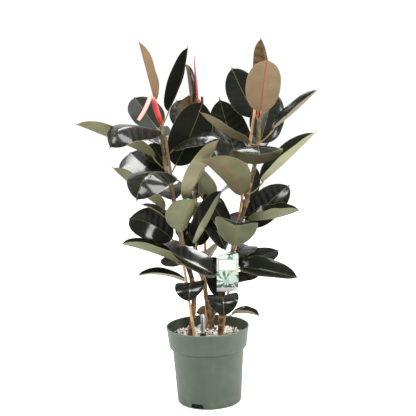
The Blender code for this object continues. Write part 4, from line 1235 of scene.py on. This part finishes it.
def fan_picture(finish, x, z, cloud):
    """Leaves fan out from one place: cos(9 a + 90 r) is high along each, at angle a and distance r."""
    right, up = x - FAN[0], z - FAN[1]
    angle = up.maths("ARCTAN2", up, right)
    leaf = (angle * FAN_LEAVES + apart(right, up) * FAN_TWIST).cosine().step(-0.25, 0.35)
    teal = finish.ramp(cloud, (0.35, 30, 78, 66), (0.5, 78, 132, 114), (0.65, 142, 180, 162))
    light = finish.mix(z.step(0.425, 0.440), seen(204, 212, 202), seen(190, 194, 146))
    trunk = (abs(right + up * 0.12) < 0.0012) * (up > 0.0)
    shade = (1.0 - z.step(0.398, 0.401)) * cloud.step(0.42, 0.52)
    picture = finish.mix(trunk * 0.85, finish.mix(leaf, light, teal), seen(40, 58, 40))
    return finish.mix(shade * 0.9, picture, seen(34, 56, 36))


print("leaves in the fan:", int(FAN_LEAVES))

# %% [markdown]
# Over the paper, clouded with pale green, go a sprig at the top, the picture, a framed pale panel, a
# round badge with a ring, and a plain strip at the foot. Each is a mask and a colour, and a loop lays
# them on in order.

# %% Print of the plant tag
TAG_TOP = 0.4972
CARD_SPAN = 0.5
SPRIG = (0.069, 0.086)
PANEL = (0.0403, 0.0968, 0.4420, 0.4785)
PANEL_FRAME = 0.0014
PICTURE_TOP = PANEL[2] - 0.0016
BADGE = (0.0853, 0.4157)
BADGE_RADIUS = 0.0138
BADGE_INSIDE = BADGE_RADIUS - 0.002
STRIP_TOP = 0.3882
PRINT_EDGE = 0.0006


def card_finish():
    finish = Finish("printed_card", IOR=1.48, Roughness=0.36)
    x, z = (share * CARD_SPAN for share in finish.place())
    cloud = finish.noise(150.0, 2.0)
    left, right, low, high = PANEL
    inner = (left + PANEL_FRAME, right - PANEL_FRAME, low + PANEL_FRAME, high - PANEL_FRAME)
    away = apart(x - BADGE[0], z - BADGE[1])
    printed = finish.mix(cloud.step(0.40, 0.62) * 0.7, seen(206, 210, 206), seen(160, 182, 168))
    layers = [
        (inside_box(x, z, *SPRIG, high, TAG_TOP, 0.001) * cloud.step(0.38, 0.48), seen(78, 130, 114)),
        (1.0 - z.step(PICTURE_TOP, PICTURE_TOP + PRINT_EDGE), fan_picture(finish, x, z, cloud)),
        (inside_box(x, z, *PANEL), seen(98, 100, 97)),
        (inside_box(x, z, *inner), seen(216, 216, 214)),
        (1.0 - away.step(BADGE_RADIUS, BADGE_RADIUS + PRINT_EDGE), seen(150, 186, 170)),
        (1.0 - away.step(BADGE_INSIDE, BADGE_INSIDE + PRINT_EDGE), seen(198, 206, 198)),
        (1.0 - z.step(STRIP_TOP - 0.0004, STRIP_TOP), seen(208, 208, 207)),
    ]
    for mask, colour in layers:
        printed = finish.mix(mask, printed, colour)
    finish.set(Base_Color=printed)
    finish.bump(finish.noise(700.0, 2.0), 0.0001, 0.3)
    return finish.material


printed_card = card_finish()
print("finish:", printed_card.name)

# %% [markdown]
# The card is star-shaped seen from its punched hole, so its face can be a grid of rays: from the hole's
# rim straight out to the outline, at every angle. First the outline, with an arc at each corner, is read
# off as a distance for every angle.

# %% Outline of the plant tag
TAG_LEFT = 0.0349
TAG_RIGHT = 0.1030
TAG_BOTTOM = 0.3755
TAG_HOLE = (0.0677, 0.4920)
ARC_POINTS = 9
OUTLINE_STEPS = 24
STEPS_PER_RAY = 6
TAG_CORNERS = [
    (TAG_LEFT, TAG_BOTTOM, 0.0006, 180), (TAG_RIGHT, TAG_BOTTOM, 0.0006, 270),
    (TAG_RIGHT, TAG_TOP, 0.003, 0), (TAG_LEFT, TAG_TOP, 0.020, 90),
]


def tag_outline():
    """The outline's points, anticlockwise from the lower left, each corner an arc."""
    arcs = []
    for x, z, reach, start in TAG_CORNERS:
        turn = np.radians(start + np.linspace(0.0, 90.0, ARC_POINTS))[:, None]
        inward = -np.sign(np.cos(np.radians((start + 45.0, start - 45.0))))
        arcs.append(np.array((x, z)) + reach * inward + reach * np.hstack([np.cos(turn), np.sin(turn)]))
    return np.vstack([*arcs, arcs[0][:1]])


def tag_rays():
    """Angles round the hole, and how far the outline lies from it at each."""
    loop = tag_outline() - np.array(TAG_HOLE)
    sides = zip(loop[:-1], loop[1:])
    steps = np.vstack([np.linspace(a, b, OUTLINE_STEPS, endpoint=False) for a, b in sides])
    angles = np.arctan2(steps[:, 1], steps[:, 0])
    order = np.argsort(angles)
    ray = angles[order][::STEPS_PER_RAY]
    return ray, np.interp(ray, angles[order], np.linalg.norm(steps, axis=1)[order])


print("rays round the hole:", len(tag_rays()[0]))

# %% [markdown]
# A grid of rays gives a hole and rounded corners with no Boolean. The card leans and bulges a little, as
# printed card does in damp air, and a strip in the hole and one round the outline join its two faces.

# %% Plant tag
TAG_FRONT = -0.0710
TAG_THICKNESS = 0.0008
TAG_HOLE_RADIUS = 0.0034
TAG_LEAN = math.radians(-1.2)
TAG_BULGE = 0.0012


def make_tag():
    """Ray a, share t: hole + (r + t (R(a) - r)) (cos a, sin a), r the hole's radius, R(a) the outline's."""
    ray, far = tag_rays()
    rows, rays = 15, len(ray)
    radius = TAG_HOLE_RADIUS + np.linspace(0.0, 1.0, rows)[:, None] * (far - TAG_HOLE_RADIUS)
    upright, leaned = (
        np.stack([TAG_HOLE[0] + radius * np.cos(turn), TAG_HOLE[1] + radius * np.sin(turn)], -1)
        for turn in (ray, ray + TAG_LEAN)
    )
    across = (upright[..., 0] - (TAG_LEFT + TAG_RIGHT) / 2) / (TAG_RIGHT - TAG_LEFT) * 2
    depth = TAG_FRONT + TAG_BULGE * (across ** 2 - 0.4)
    front = np.stack([leaned[..., 0], depth, leaned[..., 1]], -1).reshape(-1, 3)
    quads, size = grid_quads(rows, rays, around=True), len(front)
    side = np.arange(rays)
    walls = [strip(loop, loop + size) for loop in (side, side + size - rays)]
    piece = Piece("hanging_card")
    points = np.vstack([front, front + np.array((0.0, TAG_THICKNESS, 0.0))])
    piece.add(points, [quads, quads[:, ::-1] + size, *walls], place=np.stack([upright, upright]) / CARD_SPAN)
    piece.build([printed_card], "tag_card", sharp=50.0, turn_out=True)


make_tag()

# %% [markdown]
# The tie is a thin black twisted cord in a closed loop, through the card's hole and round the back of the
# stem. A three-lobed ring that turns as it is carried round gives the twist.

# %% Tie
TIE_RADIUS = 0.0014
TIE_CENTRE = (0.0866, -0.0585, 0.4977)
TIE_LOOP = 0.0225
TIE_TILT = 0.0051
TIE_STRANDS, TIE_TWIST = 3, 30


def make_tie():
    """Centre + (L cos t, L sin t, h cos t), with radius r (0.92 + 0.14 cos(3 a + 30 t)) round it."""
    count, sides = 180, 12
    turn = turns(count)[:, None]
    aside, away = (TIE_LOOP, 0.0, TIE_TILT), (0.0, TIE_LOOP, 0.0)
    loop = np.array(TIE_CENTRE) + np.cos(turn) * aside + np.sin(turn) * away
    radius = TIE_RADIUS * (0.92 + 0.14 * np.cos(TIE_STRANDS * turns(sides) + TIE_TWIST * turn))
    piece = Piece("twisted_tie")
    piece.add(*tube(loop, radius, sides, closed=True))
    black = plastic_finish("tie_black", (18, 18, 18), (34, 34, 32), 0.5, 600.0, 0.0002)
    piece.build([black], "tag_tie", turn_out=True)


make_tie()

# %% [markdown]
# Each growing tip pushes its next leaf out of a red sheath, which splits and hangs on for a while. The
# left one is a split strip that has folded over, red at its root and bleached pink past the fold. The
# middle one is a slim closed spike, and the right one a short bud. Lengths along the sheath come with the
# mesh as the first tone.

# %% Finish of the sheaths
def sheath_finish():
    """Red skin that fades to pale pink: tone 0 is the share along it, tone 1 how far from its middle."""
    finish = Finish("sheath_red", IOR=1.42, Roughness=0.38)
    along, away, _, _ = finish.tone()
    streak = finish.noise(500.0, 3.0, 0.5, (1.0, 1.0, 0.2))
    skin = finish.ramp(
        along, (0.0, 206, 78, 62), (0.2, 196, 62, 56), (0.42, 160, 34, 38), (0.5, 196, 104, 94),
        (0.58, 228, 182, 172), (1.0, 222, 164, 152),
    )
    lined = finish.mix(streak.step(0.5, 0.7) * 0.35, skin, seen(176, 70, 64))
    finish.set(Base_Color=finish.mix(away.step(0.45, 1.0) * 0.55, lined, seen(206, 84, 66)))
    finish.bump(streak, 0.0004, 0.6)
    return finish.material


sheath_red = sheath_finish()
print("finish:", sheath_red.name)

# %% [markdown]
# The strip is a grid along and across with its edges curled in. Its path and width are lists in
# millimetres, read off smoothly along it.

# %% Split sheath
LEFT_SHEATH = [
    (-128, 14.6, 905), (-130, 4, 913), (-134, -9, 926), (-140, -14, 946), (-146, -17, 970), (-151, -21, 986),
    (-157, -25, 988), (-166, -28, 972), (-180, -30, 945), (-190, -34, 930), (-197, -36, 920),
]
LEFT_SHEATH_WIDTHS = [15, 18, 20, 20, 19, 17, 15, 15, 15, 14, 12]
SHEATH_CURL = 0.9
SHEATH_HALF = 0.0004


def sheath_plan(points, sizes, rows):
    """The sheath's path, the share along it, and the listed sizes read off at each share."""
    share = np.linspace(0.0, 1.0, rows)
    size = np.interp(share, np.linspace(0.0, 1.0, len(sizes)), sizes) * MM
    return eased(np.array(points, float) * MM, rows), share, size


def make_strip_sheath(rows=60, columns=9):
    """Point (s, v) = path(s) + aside w sin(k v) / k + normal w (1 - cos(k v)) / k, an arc with curl k."""
    path, share, width = sheath_plan(LEFT_SHEATH, LEFT_SHEATH_WIDTHS, rows)
    along = unit(np.gradient(path, axis=0))
    aside = unit(np.cross(along, (0.0, 1.0, 0.0)))
    normal = np.cross(aside, along)[:, None]
    across = np.linspace(-1.0, 1.0, columns)
    arc = width[:, None] / 2 / SHEATH_CURL
    run, rise = arc * np.sin(SHEATH_CURL * across), arc * (1.0 - np.cos(SHEATH_CURL * across))
    sheet = path[:, None] + aside[:, None] * run[..., None] + normal * rise[..., None]
    tone = np.tile(tones(share[:, None], np.abs(across), 0.5), (2, 1))
    piece = Piece("split_sheath")
    sides = np.stack([sheet + SHEATH_HALF * normal, sheet - SHEATH_HALF * normal])
    piece.add(sides, sheet_faces(rows, columns), tone=tone)
    piece.build([sheath_red], "sheath_left", sharp=60.0, turn_out=True)


make_strip_sheath()

# %% [markdown]
# The two closed sheaths are spindles with shallow pleats, where the rolled leaf shows through. They stay
# red to their tips, so their first tone stops short of the pale end.

# %% Closed sheaths
CLOSED_SHEATHS = {
    "spike_sheath": (
        "sheath_middle", [(-9.8, 37.2, 968), (-12, 40, 1003), (-15.6, 44, 1056), (-17.6, 46, 1116)],
        [3.2, 4.0, 2.6, 0.7],
    ),
    "bud_sheath": (
        "sheath_right", [(173.8, -39.4, 918.4), (176, -41, 935), (180, -41, 949)],
        [3.0, 3.2, 0.8],
    ),
}
RED_END = 0.42


def make_closed_sheath(name, node, points, radii, rows=40, sides=20):
    """Radius at share s and angle t: r(s) (0.96 + 0.06 cos(5 t + 4 s))."""
    path, share, radius = sheath_plan(points, radii, rows)
    pleated = radius[:, None] * (0.96 + 0.06 * np.cos(5 * turns(sides) + 4 * share[:, None]))
    marks = np.concatenate([np.repeat(share * RED_END, sides), (0.0, RED_END)])
    piece = Piece(name)
    piece.add(*tube(path, pleated, sides), tone=tones(marks))
    piece.build([sheath_red], node, sharp=60.0)


for name, plan in CLOSED_SHEATHS.items():
    make_closed_sheath(name, *plan)

# %% [markdown]
# The studio has a pale floor that runs out to a white surround. The floor glows a little, less so near
# the pot, which leaves the pot a soft shadow. Dark waxy leaves show mostly what they mirror, so the
# surround is bright behind the plant, which the flat leaves pick up at a grazing angle, and dim in front
# of it, which keeps the leaves that face the camera dark.

# %% Floor and surround
FLOOR_HALF = 6.0
WHITE_BACKDROP = 1.05


def make_floor():
    finish = Finish("floor_white", Roughness=0.9, Base_Color=(0.80, 0.80, 0.80), Emission_Strength=1.0)
    x, y, _ = finish.axes(finish.coordinates())
    stops = [(0.135, (0.5,) * 3), (0.22, (0.92,) * 3), (0.5, (1.0,) * 3)]
    finish.set(Emission_Color=finish.node("ValToRGB", {"stops": stops}, {"Fac": apart(x, y)})["Color"])
    mesh = bpy.data.meshes.new("studio_floor")
    corners = [(x * FLOOR_HALF, y * FLOOR_HALF, 0.0) for x, y in ((-1, -1), (1, -1), (1, 1), (-1, 1))]
    mesh.from_pydata(corners, [], [(0, 1, 2, 3)])
    mesh.materials.append(finish.material)
    floor = bpy.data.objects.new("studio_floor", mesh)
    bpy.context.scene.collection.objects.link(floor)


def make_surround():
    """White to the camera; as a light, bright behind the plant and dim in front of it."""
    world = bpy.data.worlds.new("surround")
    bpy.context.scene.world = world
    light = Nodes(world, "Background", Color=(1.0, 1.0, 1.0))
    back = light.axes(light.node("TexCoord")["Generated"])[1]
    reach = {"Value": back, "From Min": 0.0, "From Max": 0.9, "To Min": 0.05, "To Max": 1.30}
    dim = light.node("MapRange", {}, reach)["Result"]
    direct = light.node("LightPath")["Is Camera Ray"]
    light.set(Strength=light.node("Mix", {}, {0: direct, 2: dim, 3: WHITE_BACKDROP})["Result"])


make_floor()
make_surround()
print("floor and surround are in place")

# %% [markdown]
# Soft boxes stand above, behind and to both sides. Small ones give the bright streaks on the waxy leaves,
# and the large ones to the left and right make the pot look round. Each light faces the point that it is
# aimed at.

# %% Lamps
LAMPS = {
    "soft_right": ((2.7, -1.2, 1.5), (0.0, 0.0, 0.6), 1.0, 84.0),
    "soft_left": ((-2.6, -1.0, 1.4), (0.0, 0.0, 0.6), 1.4, 48.0),
    "soft_front": ((-0.85, -0.9, 2.4), (0.0, 0.0, 0.7), 0.6, 20.0),
    "soft_top": ((0.15, -0.75, 2.6), (0.0, 0.0, 0.6), 0.8, 36.0),
    "soft_side": ((1.45, -0.9, 2.2), (0.1, 0.0, 0.8), 0.4, 12.0),
    "soft_back": ((-0.2, 0.65, 2.6), (0.0, 0.0, 0.6), 0.9, 44.0),
}

for name, (place, aim, size, power) in LAMPS.items():
    light = bpy.data.lights.new(name, "AREA")
    light.shape, light.size, light.energy = "SQUARE", size, power
    lamp = bpy.data.objects.new(name, light)
    bpy.context.scene.collection.objects.link(lamp)
    x, y, z = np.subtract(aim, place)
    lamp.location = place
    lamp.rotation_euler = (math.atan2(math.hypot(x, y), -z), 0.0, math.atan2(y, x) - math.pi / 2)
print("lamps:", len(LAMPS))

# %% [markdown]
# The camera has a long lens and stands a little above the pot, where the photograph was taken from. Its
# lens comes from the focal length in pixels, and its matrix from a pitch and a roll.

# %% Camera
CAMERA_PLACE = (0.0, -2.663, 0.974)
CAMERA_PITCH = 0.127
CAMERA_ROLL = 0.029
FOCAL_PIXELS = 839.0
FRAME_PIXELS = 416.0
SENSOR = 36.0
CENTRE_SHIFT_PIXELS = 3.85

lens = bpy.data.cameras.new("camera")
lens.sensor_width = SENSOR
lens.lens = SENSOR * FOCAL_PIXELS / FRAME_PIXELS
lens.shift_x = CENTRE_SHIFT_PIXELS / FRAME_PIXELS
camera = bpy.data.objects.new("camera", lens)
bpy.context.scene.collection.objects.link(camera)
level_right = np.array((1.0, 0.0, 0.0))
level_up = np.array((0.0, math.sin(CAMERA_PITCH), math.cos(CAMERA_PITCH)))
matrix = np.eye(4)
matrix[:3, 0] = level_right * math.cos(CAMERA_ROLL) - level_up * math.sin(CAMERA_ROLL)
matrix[:3, 1] = level_right * math.sin(CAMERA_ROLL) + level_up * math.cos(CAMERA_ROLL)
matrix[:3, 2] = (0.0, -math.cos(CAMERA_PITCH), math.sin(CAMERA_PITCH))
matrix[:3, 3] = CAMERA_PLACE
camera.matrix_world = Matrix(matrix.tolist())
bpy.context.scene.camera = camera
bpy.context.scene.view_settings.view_transform = "Standard"
print("lens in millimetres:", round(lens.lens, 1))

# %% [markdown] The dressed plant stands in place of the solids that it replaces.
